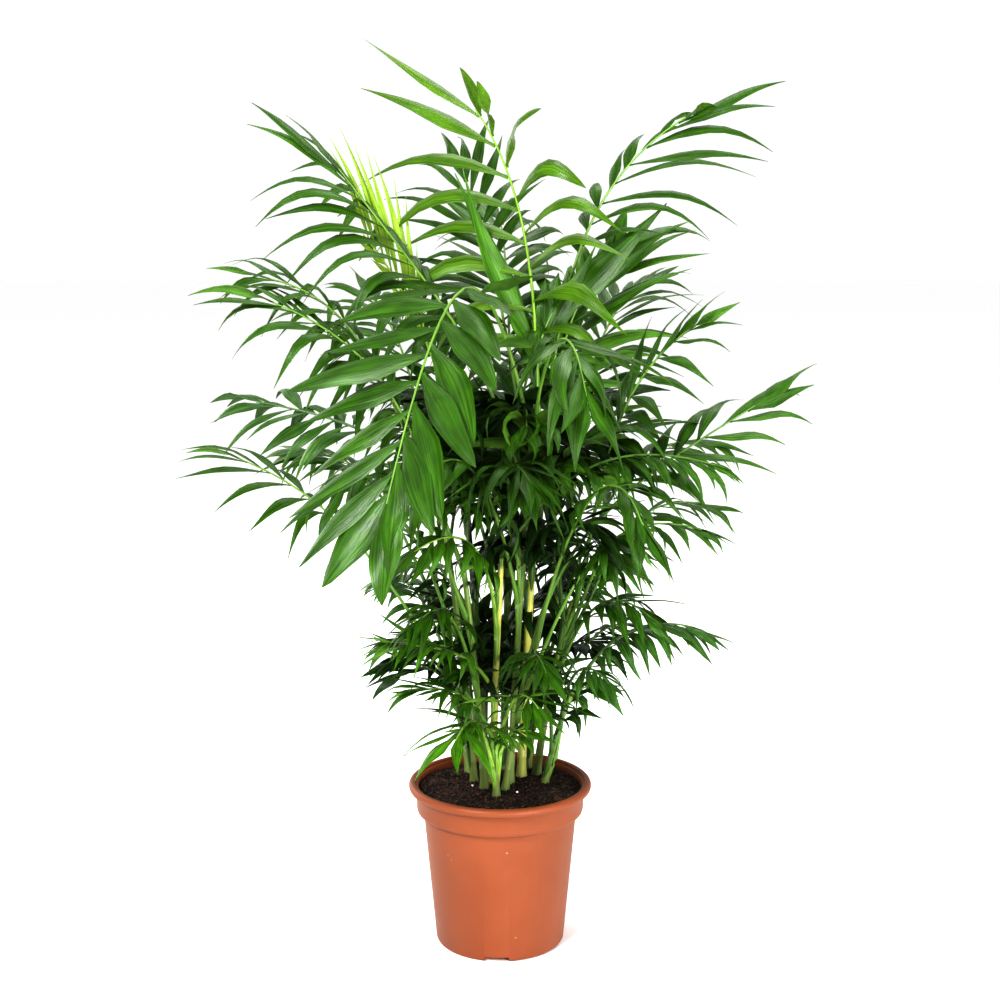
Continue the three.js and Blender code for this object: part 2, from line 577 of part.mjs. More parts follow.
/** Shape of one leaflet: where it bends, its tip and the way its blade faces. */
function leafletShape(row, seed, ring, place, side, attempt) {
  const uneven = (choice) => spread(seed, place * 2 + (side > 0 ? 1 : 0) + choice * 50) * row.wild;
  const open = blend(...LEAFLET.fan, place ** LEAFLET.closing) * row.fan + uneven(1) * LEAFLET.unevenFan;
  const swept = open - side * row.sweep;
  const fan = row.closed ? blend(...LEAFLET.closedFan, place) : swept;
  const angle = THREE.MathUtils.degToRad(fan + attempt.swing);
  const lift = THREE.MathUtils.degToRad(row.lift + uneven(2) * LEAFLET.unevenLift + attempt.lift);
  const taper = leafletTaper(place);
  const own = taper * (1 + uneven(3) * LEAFLET.unevenLength) * attempt.length;
  const length = row.leaf * (side < 0 ? row.left : row.right * blend(1, row.tail, place)) * own;
  const slack = place === 1 ? 1 - row.stiff : 1;
  const sag = (row.hang * blend(...LEAFLET.droop, place) + uneven(4) * LEAFLET.unevenDroop) * slack;
  const droop = THREE.MathUtils.degToRad(Math.max(0, sag));
  const { centre, along, across, up } = ring;
  const outward = across.clone().multiplyScalar(side * Math.cos(lift)).addScaledVector(up, Math.sin(lift));
  const near = along.clone().multiplyScalar(Math.cos(angle)).addScaledVector(outward, Math.sin(angle));
  const far = near.clone().multiplyScalar(Math.cos(droop));
  far.z -= Math.sin(droop);
  far.normalize();
  const bend = centre.clone().addScaledVector(near, length * LEAFLET.bend);
  const tip = bend.clone().addScaledVector(far, length * (1 - LEAFLET.bend));
  const middle = near.clone().add(far).normalize();
  const skyward = new THREE.Vector3(0, 0, 1).addScaledVector(middle, -middle.z);
  const face = middle.clone().cross(along).multiplyScalar(side).normalize();
  face.addScaledVector(skyward, row.sky * LEAFLET.turning).normalize();
  const breadth = face.clone().cross(middle).multiplyScalar(side);
  const thickness = Math.max(LEAFLET.thickness, length / LEAFLET.slenderness);
  return { bend, tip, breadth, face, width: row.wide * Math.sqrt(taper), thickness };
}

/** The four points of a leaflet's widest section, each nearest to its root point, and its tip. */
function leafletPoints({ bend, tip, breadth, face, width, thickness }, root, side, spare) {
  const half = width / 2 + spare;
  const thick = thickness / 2 + spare;
  const corner = (x, z) => bend.clone().addScaledVector(breadth, x).addScaledVector(face, z);
  const section = [corner(-half, thick), corner(half, thick), corner(half, -thick), corner(-half, -thick)];
  const ring = side < 0 ? section : section.reverse();
  const orders = ring.map((_, first) => [...ring.slice(first), ...ring.slice(0, first)]);
  const stretch = (points) => points.reduce((sum, point, index) => sum + point.distanceTo(root[index]), 0);
  orders.sort((one, other) => stretch(one) - stretch(other));
  const end = tip.clone().addScaledVector(tip.clone().sub(bend).normalize(), spare * 2);
  return [...orders[0], end];
}

/** Triangles of a leaflet, without its root. Each side is folded outwards, so none cross. */
function leafletFaces(points, root, section, tip) {
  const faces = [];
  for (let edge = 0; edge < 4; edge += 1) {
    const next = (edge + 1) % 4;
    const [a, b, c, d] = [root[edge], root[next], section[next], section[edge]];
    const plane = new THREE.Plane().setFromCoplanarPoints(points[a], points[b], points[c]);
    const outwards = plane.distanceToPoint(points[d]) < 0;
    faces.push(...(outwards ? [[a, b, c], [a, c, d]] : [[a, b, d], [b, c, d]]));
    faces.push([d, c, tip]);
  }
  return faces;
}

/** Closed piece of a leaflet alone, a little larger than it is. */
function roomyLeaflet(shape, root, side) {
  const points = [...root, ...leafletPoints(shape, root, side, LEAFLET.room)];
  const faces = [[2, 1, 0], [3, 2, 0], ...leafletFaces(points, [0, 1, 2, 3], [4, 5, 6, 7], 8)];
  return new Piece(points, faces);
}

// Ways to bend a leaflet out of its neighbours' way, tried in turn: degrees, and a share.
const ATTEMPTS = [
  { swing: 0, lift: 0, length: 1 },
  { swing: -10, lift: 0, length: 1 },
  { swing: 0, lift: 14, length: 1 },
  { swing: 0, lift: -14, length: 1 },
  { swing: -18, lift: 10, length: 0.92 },
  { swing: 8, lift: 24, length: 0.9 },
  { swing: 0, lift: -26, length: 0.85 },
  { swing: -12, lift: 34, length: 0.75 },
  { swing: 14, lift: 0, length: 0.8 },
  { swing: 0, lift: -36, length: 0.7 },
  { swing: 0, lift: 0, length: 0.5 },
];

/** Whether a leaflet stays over the soil, and above the pot's lip or within its mouth. */
function clearOfPot(piece, tip) {
  const lowest = piece.box.min.z;
  const inside = Math.hypot(tip.x, tip.y) < POT.bandRadius - LEAFLET.insideMouth;
  return lowest > SOIL.level + LEAFLET.overSoil && (inside || lowest > POT.height + LEAFLET.overLip);
}

/** Points of a leaflet that has room, or null. It may touch the stretch of rib that it grows on. */
function growLeaflet(row, seed, ring, station, side, root, placed) {
  const place = (station - FROND.bareSteps) / (2 * (row.pairs - 1));
  for (const attempt of ATTEMPTS) {
    const shape = leafletShape(row, seed, ring, place, side, attempt);
    const piece = roomyLeaflet(shape, root, side);
    const blocked = placed.some((other) => (
      (other.seed !== seed || other.rod !== station) && piece.crosses(other.piece)));
    if (clearOfPot(piece, shape.tip) && !blocked) {
      placed.push({ piece });
      return leafletPoints(shape, root, side, 0);
    }
  }
  return null;
}

/** Frond with every leaflet that finds room among the pieces already placed. */
function makeFrond({ row, seed, rings }, placed) {
  const points = rings.flatMap((ring) => ring.points);
  const faces = [[0, 1, 2]];
  for (let station = 0; station < rings.length - 1; station += 1) {
    const low = station * 3;
    const high = low + 3;
    const leafy = station >= FROND.bareSteps && (station - FROND.bareSteps) % 2 === 0;
    faces.push([low + 2, high + 2, high], [low + 2, high, low]);
    for (const side of [-1, 1]) {
      const [a, b] = side < 0 ? [0, 1] : [1, 2];
      const root = [low + a, high + a, high + b, low + b];
      const corners = root.map((index) => points[index]);
      const leaflet = leafy && growLeaflet(row, seed, rings[station], station, side, corners, placed);
      if (leaflet) {
        const start = points.length;
        points.push(...leaflet);
        faces.push(...leafletFaces(points, root, [start, start + 1, start + 2, start + 3], start + 4));
      } else {
        faces.push([root[0], root[1], root[2]], [root[0], root[2], root[3]]);
      }
    }
  }
  const end = (rings.length - 1) * 3;
  faces.push([end + 2, end + 1, end]);
  return named(`frond_${row.name}`, geometryOf(points, faces), row.closed ? FINISH.youngLeaf : FINISH.leaf);
}

// Turns of a rib's base, in degrees, tried in turn until it is clear of the others.
const TURNS = [0, 7, -7, 14, -14, 21, -21, 28, -28, 38, -38, 50, -50];

/** Rib line of a frond that keeps clear of the other canes and the ribs before it. */
function clearLine(row, rods) {
  const others = rods.filter((rod) => rod.cane !== row.cane);
  for (const turn of TURNS) {
    const line = ribLine(row, row.turn + turn);
    const dots = line.getSpacedPoints(FROND.roomSteps);
    const reach = FROND.ribHeight / 2 + FROND.room;
    if (others.every((rod) => dots.every((dot) => dot.distanceTo(rod.point) > rod.radius + reach))) {
      return line;
    }
  }
  throw new Error(`frond_${row.name} finds no way out`);
}

/** Every frond, their ribs placed first and their leaflets after. */
function makeFronds() {
  const rods = [];
  const placed = [];
  for (const [name, cane] of Object.entries(CANES)) {
    const line = caneLine(cane);
    for (let step = 0; step <= FROND.roomSteps; step += 1) {
      const share = step / FROND.roomSteps;
      rods.push({ cane: name, point: line.getPoint(share), radius: caneRadius(cane, share) });
    }
    placed.push(...rodPieces(caneRings(cane)).map((piece) => ({ piece })));
  }
  const ribs = FRONDS.map((sizes, index) => {
    const row = { ...PLAIN_FROND, ...sizes };
    const seed = index + 1;
    const line = clearLine(row, rods);
    for (const point of line.getSpacedPoints(FROND.roomSteps)) {
      rods.push({ point, radius: FROND.ribHeight / 2 });
    }
    const rings = ribRings(row, line);
    const pieces = rodPieces(rings.map((ring) => ring.points));
    placed.push(...pieces.map((piece, rod) => ({ seed, rod, piece })));
    return { row, seed, rings };
  });
  return ribs.map((rib) => makeFrond(rib, placed));
}

// ---------------------------------------------------------------- the plant

const palm = new THREE.Group();
palm.add(makePot(), makeSoil());
for (const [name, cane] of Object.entries(CANES)) {
  palm.add(makeCane(name, cane));
}
palm.add(...makeFronds());

export default palm;
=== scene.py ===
"""Parlour palm in its nursery pot: a clump of slim canes with arching feather fronds.

The pot, the soil and the canes are modelled with Blender's operators. The fronds are grown by
the rule that the solid parts follow, with more and finer leaflets, and are joined into a few
pieces of leaflets and of ribs. Sizes are millimetres until a mesh is made, and metres there.
"""

import logging
import math
from contextlib import contextmanager
from dataclasses import dataclass
from enum import Enum
from functools import partial
from typing import Iterator, Sequence

import bpy
import numpy as np
from mathutils import Matrix, Vector


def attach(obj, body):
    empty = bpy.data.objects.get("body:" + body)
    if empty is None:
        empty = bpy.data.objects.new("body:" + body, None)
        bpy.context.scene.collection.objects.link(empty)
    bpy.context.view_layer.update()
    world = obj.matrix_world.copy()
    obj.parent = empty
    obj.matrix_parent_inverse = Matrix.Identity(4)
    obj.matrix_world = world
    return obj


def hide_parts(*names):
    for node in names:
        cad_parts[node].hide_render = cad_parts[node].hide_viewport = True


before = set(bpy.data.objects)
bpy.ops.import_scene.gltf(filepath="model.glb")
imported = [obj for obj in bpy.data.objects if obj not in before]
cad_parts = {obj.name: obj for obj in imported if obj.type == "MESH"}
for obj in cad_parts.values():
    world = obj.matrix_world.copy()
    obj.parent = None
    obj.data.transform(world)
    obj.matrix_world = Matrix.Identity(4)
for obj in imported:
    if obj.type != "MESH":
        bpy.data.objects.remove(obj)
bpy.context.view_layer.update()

LOG = logging.getLogger("parlour_palm")
MM = 0.001
BODY = "root"

Colour = tuple[float, float, float]
Value = "Socket | float | Colour"


def srgb(red: int, green: int, blue: int) -> Colour:
    """Linear colour of a screen colour.

    Args:
        red: Red from 0 to 255.
        green: Green from 0 to 255.
        blue: Blue from 0 to 255.

    Returns:
        The three parts in linear light, from 0 to 1.
    """
    def linear(part: int) -> float:
        """One part in linear light."""
        share = part / 255
        return share / 12.92 if share <= 0.04045 else ((share + 0.055) / 1.055) ** 2.4

    return linear(red), linear(green), linear(blue)


def blend(low: float, high: float, share: float) -> float:
    """Value a share of the way from low to high."""
    return low + (high - low) * share


def smoothstep(value: np.ndarray | float, low: float, high: float) -> np.ndarray | float:
    """Smooth rise from 0 at low to 1 at high."""
    share = np.clip((value - low) / (high - low), 0.0, 1.0)
    return share * share * (3 - 2 * share)


def spread(seed: int, step: float) -> float:
    """Repeatable value between -1 and 1 for the step-th choice of a numbered thing."""
    wave = math.sin(seed * 12.9 + step * 78.2) * 437.58
    return 2 * (wave - math.floor(wave)) - 1


# ---------------------------------------------------------------- shader maths


class Socket:
    """Output of a shader node, in which sums are written as Python expressions."""

    def __init__(self, graph: "NodeGraph", output: bpy.types.NodeSocket) -> None:
        """Keeps the node tree and the output that the value comes from."""
        self.graph = graph
        self.output = output

    def _math(self, operation: str, *values: Value) -> "Socket":
        """New Math node's result for an operation on these values."""
        return self.graph.read("ShaderNodeMath", 0, dict(enumerate(values)), operation=operation)

    def __add__(self, other: Value) -> "Socket":
        """Sum."""
        return self._math("ADD", self, other)

    def __radd__(self, other: Value) -> "Socket":
        """Sum with a number on the left."""
        return self._math("ADD", other, self)

    def __rsub__(self, other: Value) -> "Socket":
        """Difference from a number on the left."""
        return self._math("SUBTRACT", other, self)

    def __mul__(self, other: Value) -> "Socket":
        """Product."""
        return self._math("MULTIPLY", self, other)

    def __abs__(self) -> "Socket":
        """Size without its sign."""
        return self._math("ABSOLUTE", self)

    def above(self, edge: float, soft: float) -> "Socket":
        """Mask that rises from 0 at the edge to 1 over a soft width.

        Args:
            edge: Value at which the mask starts.
            soft: Width of its slope.

        Returns:
            The mask, from 0 to 1.
        """
        slope = {"Value": self, "From Min": edge, "From Max": edge + soft}
        return self.graph.read("ShaderNodeMapRange", 0, slope, interpolation_type="SMOOTHSTEP")


class NodeGraph:
    """Node tree of one material."""

    def __init__(self, name: str) -> None:
        """Makes an empty material.

        Args:
            name: The material's name.
        """
        self.material = bpy.data.materials.new(name)
        self.material.use_nodes = True
        self.tree = self.material.node_tree
        self.tree.nodes.clear()

    def node(self, kind: str, values: dict[str | int, Value] | None = None,
             **settings: object) -> bpy.types.Node:
        """Adds a node, sets it and joins its sockets.

        Args:
            kind: Type of the node.
            values: Values or outputs for its inputs, by the inputs' names or numbers.
            **settings: The node's own properties.

        Returns:
            The node.
        """
        made = self.tree.nodes.new(kind)
        for key, setting in settings.items():
            setattr(made, key, setting)
        for key, value in (values or {}).items():
            socket = made.inputs[key]
            if isinstance(value, Socket):
                self.tree.links.new(value.output, socket)
            else:
                socket.default_value = (*value, 1.0) if isinstance(value, tuple) else value
        return made

    def read(self, kind: str, output: int | str, values: dict[str | int, Value] | None = None,
             **settings: object) -> Socket:
        """Adds a node as node() does, and gives the output of this name or number."""
        return Socket(self, self.node(kind, values, **settings).outputs[output])

    def place(self) -> Socket:
        """Place on the piece, in metres."""
        return self.read("ShaderNodeTexCoord", "Object")

    def attribute(self, name: str) -> Socket:
        """Vector that the mesh holds under a name."""
        return self.read("ShaderNodeAttribute", "Vector", attribute_name=name)

    def parts(self, vector: Socket) -> tuple[Socket, Socket, Socket]:
        """The three numbers of a vector."""
        node = self.node("ShaderNodeSeparateXYZ", {0: vector})
        return tuple(Socket(self, output) for output in node.outputs)

    def vector(self, x: Value, y: Value, z: Value) -> Socket:
        """Vector of three numbers."""
        return self.read("ShaderNodeCombineXYZ", 0, {0: x, 1: y, 2: z})

    def noise(self, vector: Socket, scale: float, detail: float = 2.0, rough: float = 0.5) -> Socket:
        """Cloudy pattern.

        Args:
            vector: Place that it is read at.
            scale: Clouds to a unit.
            detail: Octaves.
            rough: Strength of the finer octaves.

        Returns:
            Its value, about 0.5 on average.
        """
        values = {"Vector": vector, "Scale": scale, "Detail": detail, "Roughness": rough}
        return self.read("ShaderNodeTexNoise", "Fac", values)

    def cells(self, vector: Socket, scale: float) -> Socket:
        """Distance from the nearest of many scattered points."""
        return self.read("ShaderNodeTexVoronoi", "Distance", {"Vector": vector, "Scale": scale})

    def mix(self, factor: Value, low: Value, high: Value) -> Socket:
        """Colour between two colours."""
        return self.read("ShaderNodeMix", 2, {0: factor, 6: low, 7: high}, data_type="RGBA")

    def bump(self, height: Socket, distance: float, strength: float = 1.0) -> Socket:
        """Normal of a surface with a fine relief.

        Args:
            height: The relief, from 0 to 1.
            distance: Its depth in metres.
            strength: Share of it that shows.

        Returns:
            The normal.
        """
        values = {"Height": height, "Distance": distance, "Strength": strength}
        return self.read("ShaderNodeBump", 0, values)

    def finish(self, **values: Value) -> bpy.types.Material:
        """Ends the tree in a Principled surface.

        Args:
            **values: Its inputs, with an underscore for each space in their names.

        Returns:
            The material.
        """
        named = {key.replace("_", " "): value for key, value in values.items()}
        self.node("ShaderNodeOutputMaterial", {"Surface": self.read("ShaderNodeBsdfPrincipled", 0, named)})
        return self.material


# ---------------------------------------------------------------- finishes


@dataclass(frozen=True)
class PotFinish:
    """Satin terracotta-coloured plastic, a little uneven, with a few mould specks."""

    name: str = "pot_plastic"
    body: Colour = srgb(125, 69, 39)
    pale: Colour = srgb(131, 74, 44)
    speck: Colour = srgb(214, 140, 104)

    def make(self) -> bpy.types.Material:
        """Builds the material."""
        graph = NodeGraph(self.name)
        place = graph.place()
        cloud = graph.noise(place, 14, 3)
        grain = graph.noise(place, 900, 2)
        specks = 1 - graph.cells(place, 55).above(0.035, 0.03)
        tone = graph.mix(cloud.above(0.35, 0.4), self.body, self.pale)
        return graph.finish(
            Base_Color=graph.mix(specks * graph.noise(place, 30).above(0.52, 0.05), tone, self.speck),
            Roughness=0.4 + cloud * 0.16,
            Normal=graph.bump(grain, 0.0001, 0.35),
            Specular_IOR_Level=0.35,
        )


@dataclass(frozen=True)
class SoilFinish:
    """Moist dark potting soil."""

    name: str = "potting_soil"
    dark: Colour = srgb(18, 10, 7)
    light: Colour = srgb(118, 80, 60)

    def make(self) -> bpy.types.Material:
        """Builds the material."""
        graph = NodeGraph(self.name)
        place = graph.place()
        crumbs = graph.noise(place, 260, 6, 0.7)
        return graph.finish(
            Base_Color=graph.mix(crumbs.above(0.42, 0.3), self.dark, self.light),
            Roughness=0.7 + crumbs * 0.25,
            Normal=graph.bump(crumbs, 0.002),
        )


@dataclass(frozen=True)
class PlainFinish:
    """Two matt colours clouded together, for the crumbs on the soil."""

    name: str
    tone: Colour
    other: Colour
    roughness: float = 0.8
    scale: float = 90

    def make(self) -> bpy.types.Material:
        """Builds the material."""
        graph = NodeGraph(self.name)
        cloud = graph.noise(graph.place(), self.scale, 3)
        return graph.finish(
            Base_Color=graph.mix(cloud.above(0.35, 0.3), self.tone, self.other),
            Roughness=self.roughness + cloud * 0.1,
            Normal=graph.bump(cloud, 0.0005),
        )


@dataclass(frozen=True)
class CaneFinish:
    """Smooth skin of a cane, streaked along its length."""

    name: str
    skin: Colour
    streak: Colour
    foot: Colour

    def make(self) -> bpy.types.Material:
        """Builds the material."""
        graph = NodeGraph(self.name)
        place = graph.place()
        x, y, z = graph.parts(place)
        fibres = graph.noise(graph.vector(x, y, z * 0.03), 420, 3)
        cloud = graph.noise(place, 22, 2)
        low = 1 - z.above(0.2, 0.09)
        skin = graph.mix(fibres.above(0.4, 0.25) * 0.5 + cloud * 0.4, self.skin, self.streak)
        return graph.finish(
            Base_Color=graph.mix(low * 0.8, skin, self.foot),
            Roughness=0.34 + fibres * 0.2,
            Normal=graph.bump(fibres, 0.0002, 0.6),
        )


@dataclass(frozen=True)
class BladeFinish:
    """Satin leaflet blade with fine veins along it."""

    name: str
    blade: Colour
    vein: Colour
    roughness: float

    def make(self) -> bpy.types.Material:
        """Builds the material."""
        graph = NodeGraph(self.name)
        across, along, seed = graph.parts(graph.attribute(Foliage.GRAIN))
        streaks = graph.noise(graph.vector(across * 8, along * 0.7, seed), 1.0, 4, 0.65)
        cloud = graph.noise(graph.vector(across, along * 3, seed), 1.3, 1)
        lot = graph.noise(graph.vector(seed, 0.0, 0.0), 7.0, 0)
        midrib = 1 - abs(across).above(0.0, 0.1)
        pale = streaks.above(0.5, 0.18) * 0.5 + midrib * 0.35 + lot.above(0.55, 0.2) * 0.35
        dusk = (1 - streaks.above(0.36, 0.14)) * 0.5 + (1 - cloud.above(0.36, 0.3)) * 0.5
        blade = graph.mix(pale, self.blade, self.vein)
        return graph.finish(
            Base_Color=graph.mix(dusk, blade, tuple(part * 0.45 for part in self.blade)),
            Roughness=self.roughness + streaks * 0.15,
            Normal=graph.bump(streaks, 0.0008, 0.7),
            Specular_IOR_Level=0.28,
        )


@dataclass(frozen=True)
class RibFinish:
    """Smooth frond rib."""

    name: str
    skin: Colour
    shade: Colour

    def make(self) -> bpy.types.Material:
        """Builds the material."""
        graph = NodeGraph(self.name)
        across, along, seed = graph.parts(graph.attribute(Foliage.GRAIN))
        cloud = graph.noise(graph.vector(across * 4, along * 12, seed), 1.0, 2)
        return graph.finish(
            Base_Color=graph.mix(cloud.above(0.35, 0.3), self.skin, self.shade),
            Roughness=0.38 + cloud * 0.12,
        )


@dataclass(frozen=True)
class FloorFinish:
    """Pale studio floor."""

    name: str = "studio_floor"
    tone: Colour = (0.96, 0.96, 0.96)

    def make(self) -> bpy.types.Material:
        """Builds the material."""
        return NodeGraph(self.name).finish(Base_Color=self.tone, Roughness=0.9)


class Tone(Enum):
    """Colour of a frond's leaflets, and of its rib; two tones are lighter copies of the green with painted
    light, and one is a darker copy with painted shade.
    """

    BRIGHT = "bright"
    SUNNY = "sunny"
    FRESH = "fresh"
    MID = "mid"
    DEEP = "deep"
    BLUISH = "bluish"
    LIME = "lime"


@dataclass(frozen=True)
class ToneColours:
    """Colours of one tone: the blade's, its veins', its underside's and the rib's."""

    blade: Colour
    vein: Colour
    back: Colour
    rib: Colour


TONES: dict[Tone, ToneColours] = {
    # painted light: a lighter copy of the leaf green, for the fronds that hang in the light in front and at
    # the top
    Tone.BRIGHT: ToneColours(srgb(70, 115, 20), srgb(104, 149, 41), srgb(100, 140, 48), srgb(140, 170, 76)),
    # painted light: a lighter, yellower copy of the leaf green, for the top frond where the light falls
    Tone.SUNNY: ToneColours(srgb(74, 111, 9), srgb(102, 135, 18), srgb(100, 140, 30), srgb(134, 160, 58)),
    Tone.FRESH: ToneColours(srgb(51, 89, 11), srgb(77, 118, 27), srgb(88, 128, 48), srgb(116, 148, 60)),
    Tone.MID: ToneColours(srgb(58, 99, 19), srgb(91, 134, 41), srgb(82, 118, 48), srgb(98, 132, 54)),
    # painted shade: a darker copy of the leaf green, with blade, veins, underside and rib all darkened, for
    # the fronds inside the crown where shade falls
    Tone.DEEP: ToneColours(srgb(30, 60, 10), srgb(52, 86, 24), srgb(56, 88, 34), srgb(76, 106, 42)),
    Tone.BLUISH: ToneColours(srgb(60, 98, 33), srgb(94, 134, 60), srgb(70, 102, 54), srgb(84, 116, 58)),
    Tone.LIME: ToneColours(srgb(142, 175, 52), srgb(184, 205, 101), srgb(156, 188, 64), srgb(150, 172, 66)),
}


# ---------------------------------------------------------------- modelling bench


@dataclass(frozen=True)
class Ring:
    """Level ring that a solid is extruded through, in millimetres."""

    radius: float
    centre: np.ndarray

    @classmethod
    def stack(cls, outline: Sequence[tuple[float, float]]) -> list["Ring"]:
        """Rings round the pot's axis, from the radius and height of each."""
        return [cls(radius, np.array([0.0, 0.0, height])) for radius, height in outline]


class Bench:
    """Blender's modelling operators, called the way that they are used by hand."""

    @staticmethod
    def clear() -> None:
        """Leaves object mode with nothing selected."""
        if bpy.context.object is not None and bpy.context.object.mode != "OBJECT":
            bpy.ops.object.mode_set(mode="OBJECT")
        bpy.ops.object.select_all(action="DESELECT")

    @staticmethod
    def pick(piece: bpy.types.Object) -> None:
        """Makes a piece the only one selected, and active."""
        Bench.clear()
        piece.select_set(True)
        bpy.context.view_layer.objects.active = piece

    @staticmethod
    @contextmanager
    def editing(piece: bpy.types.Object) -> Iterator[None]:
        """Edit mode on one piece, while the block runs."""
        Bench.pick(piece)
        bpy.ops.object.mode_set(mode="EDIT")
        yield
        bpy.ops.object.mode_set(mode="OBJECT")

    @staticmethod
    def extruded(name: str, rings: Sequence[Ring], sides: int) -> bpy.types.Object:
        """Models a closed solid by extruding a disc from ring to ring.

        Args:
            name: The piece's name.
            rings: Its rings, of which the first is the disc.
            sides: Edges of each ring.

        Returns:
            The solid, with its place in its mesh.
        """
        foot = rings[0]
        Bench.clear()
        bpy.ops.mesh.primitive_circle_add(
            vertices=sides, radius=foot.radius * MM, fill_type="NGON", location=tuple(foot.centre * MM))
        piece = bpy.context.object
        piece.name = piece.data.name = name
        bpy.ops.object.transform_apply(location=True, rotation=True, scale=True)
        with Bench.editing(piece):
            bpy.ops.mesh.select_all(action="SELECT")
            for last, ring in zip(rings, rings[1:]):
                step = tuple((ring.centre - last.centre) * MM)
                bpy.ops.mesh.extrude_region_move(TRANSFORM_OT_translate={"value": step})
                size = ring.radius / last.radius
                bpy.ops.transform.resize(value=(size, size, size), center_override=tuple(ring.centre * MM))
            bpy.ops.mesh.select_all(action="SELECT")
            bpy.ops.mesh.normals_make_consistent(inside=False)
        return piece

    @staticmethod
    def apply_modifiers(piece: bpy.types.Object) -> None:
        """Applies every modifier of a piece in turn."""
        Bench.pick(piece)
        for modifier in list(piece.modifiers):
            bpy.ops.object.modifier_apply(modifier=modifier.name)

    @staticmethod
    def smooth(piece: bpy.types.Object, degrees: float) -> None:
        """Shades a piece smooth except across edges sharper than an angle."""
        Bench.pick(piece)
        bpy.ops.object.shade_smooth_by_angle(angle=math.radians(degrees))

    @staticmethod
    def hand_over(piece: bpy.types.Object, slot: str, nodes: Sequence[str]) -> None:
        """Fixes a finished piece to the frame.

        Args:
            piece: The piece.
            slot: Name of a material slot; not used.
            nodes: Nodes of the frame that it stands for.
        """
        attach(piece, BODY)
        if nodes:
            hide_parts(*nodes)
        LOG.info("%s: %d faces, stands for %d nodes", piece.name, len(piece.data.polygons), len(nodes))


# ---------------------------------------------------------------- pot and soil


@dataclass
class NurseryPot:
    """Round tapered plastic pot with a rolled lip, a band under it and notches in its foot."""

    height: float = 190
    foot_radius: float = 74
    foot_round: float = 3
    waist_radius: float = 88
    waist_height: float = 153
    band_radius: float = 96
    band_foot: float = 160
    lip_radius: float = 105
    lip_height: float = 10.5
    wall: float = 1.8
    ledge: float = 3.5
    floor: float = 8
    sides: int = 128
    notches: int = 3
    notch_width: float = 28
    notch_height: float = 5.5
    notch_depth: float = 9
    notch_round: float = 1.5
    first_notch: float = -93
    finish: PotFinish = PotFinish()

    CURL = (-62, -40, -15, 10, 35, 60, 82)
    SHOULDER = ((0.0, 0.0), (0.22, 0.04), (0.62, 0.16), (0.88, 0.42), (0.98, 0.8), (1.0, 1.0))

    def bore(self, height: float) -> float:
        """Inner radius at a height of the tapered wall."""
        return blend(self.foot_radius, self.waist_radius, height / self.waist_height) - self.wall

    def outline(self) -> list[tuple[float, float]]:
        """Radius and height of each ring, from the foot up the outside and down the inside."""
        lip_foot = self.height - self.lip_height
        mouth = self.band_radius - self.wall
        roll = self.lip_height / 2
        curl = [
            (self.lip_radius - roll + roll * math.cos(angle), self.height - roll + roll * math.sin(angle))
            for angle in np.radians(self.CURL)
        ]
        shoulder = [
            (blend(self.waist_radius, self.band_radius, out), blend(self.waist_height, self.band_foot, up))
            for out, up in self.SHOULDER
        ]
        return [
            (self.foot_radius - self.foot_round, 0),
            (self.foot_radius - self.foot_round * 0.4, self.foot_round * 0.25),
            (self.foot_radius, self.foot_round),
            *shoulder,
            (self.band_radius, lip_foot - 1),
            (self.band_radius + 0.6, lip_foot),
            (self.lip_radius - roll, lip_foot + 0.2),
            *curl,
            (mouth + self.ledge + 1, self.height - 0.2),
            (mouth + self.ledge, self.height - 1),
            (mouth + self.ledge - 0.4, self.height - self.ledge),
            (mouth + 0.4, self.height - self.ledge - 0.2),
            (mouth, self.height - self.ledge - 1),
            (mouth, self.band_foot),
            (self.bore(self.waist_height), self.waist_height),
            (self.bore(self.floor), self.floor),
        ]

    def _cutter(self, turn: float) -> bpy.types.Object:
        """Rounded block that cuts one notch, turned by some radians round the pot."""
        Bench.clear()
        bpy.ops.mesh.primitive_cube_add(size=1, location=(self.foot_radius * MM, 0, 0))
        cutter = bpy.context.object
        cutter.scale = (2 * self.notch_depth * MM, self.notch_width * MM, 2 * self.notch_height * MM)
        bpy.ops.object.transform_apply(location=True, rotation=False, scale=True)
        with Bench.editing(cutter):
            bpy.ops.mesh.select_all(action="SELECT")
            bpy.ops.mesh.bevel(offset=self.notch_round * MM, segments=3, affect="EDGES")
        cutter.rotation_euler.z = turn
        Bench.pick(cutter)
        bpy.ops.object.transform_apply(location=False, rotation=True, scale=False)
        return cutter

    def build(self) -> None:
        """Models the pot."""
        pot = Bench.extruded("nursery_pot", Ring.stack(self.outline()), self.sides)
        for notch in range(self.notches):
            cutter = self._cutter(math.radians(self.first_notch + notch * 360 / self.notches))
            cut = pot.modifiers.new("notch", "BOOLEAN")
            cut.operation = "DIFFERENCE"
            cut.object = cutter
            Bench.apply_modifiers(pot)
            bpy.data.objects.remove(cutter)
        pot.data.materials.append(self.finish.make())
        Bench.smooth(pot, 38)
        Bench.hand_over(pot, "pot_plastic", ["pot"])


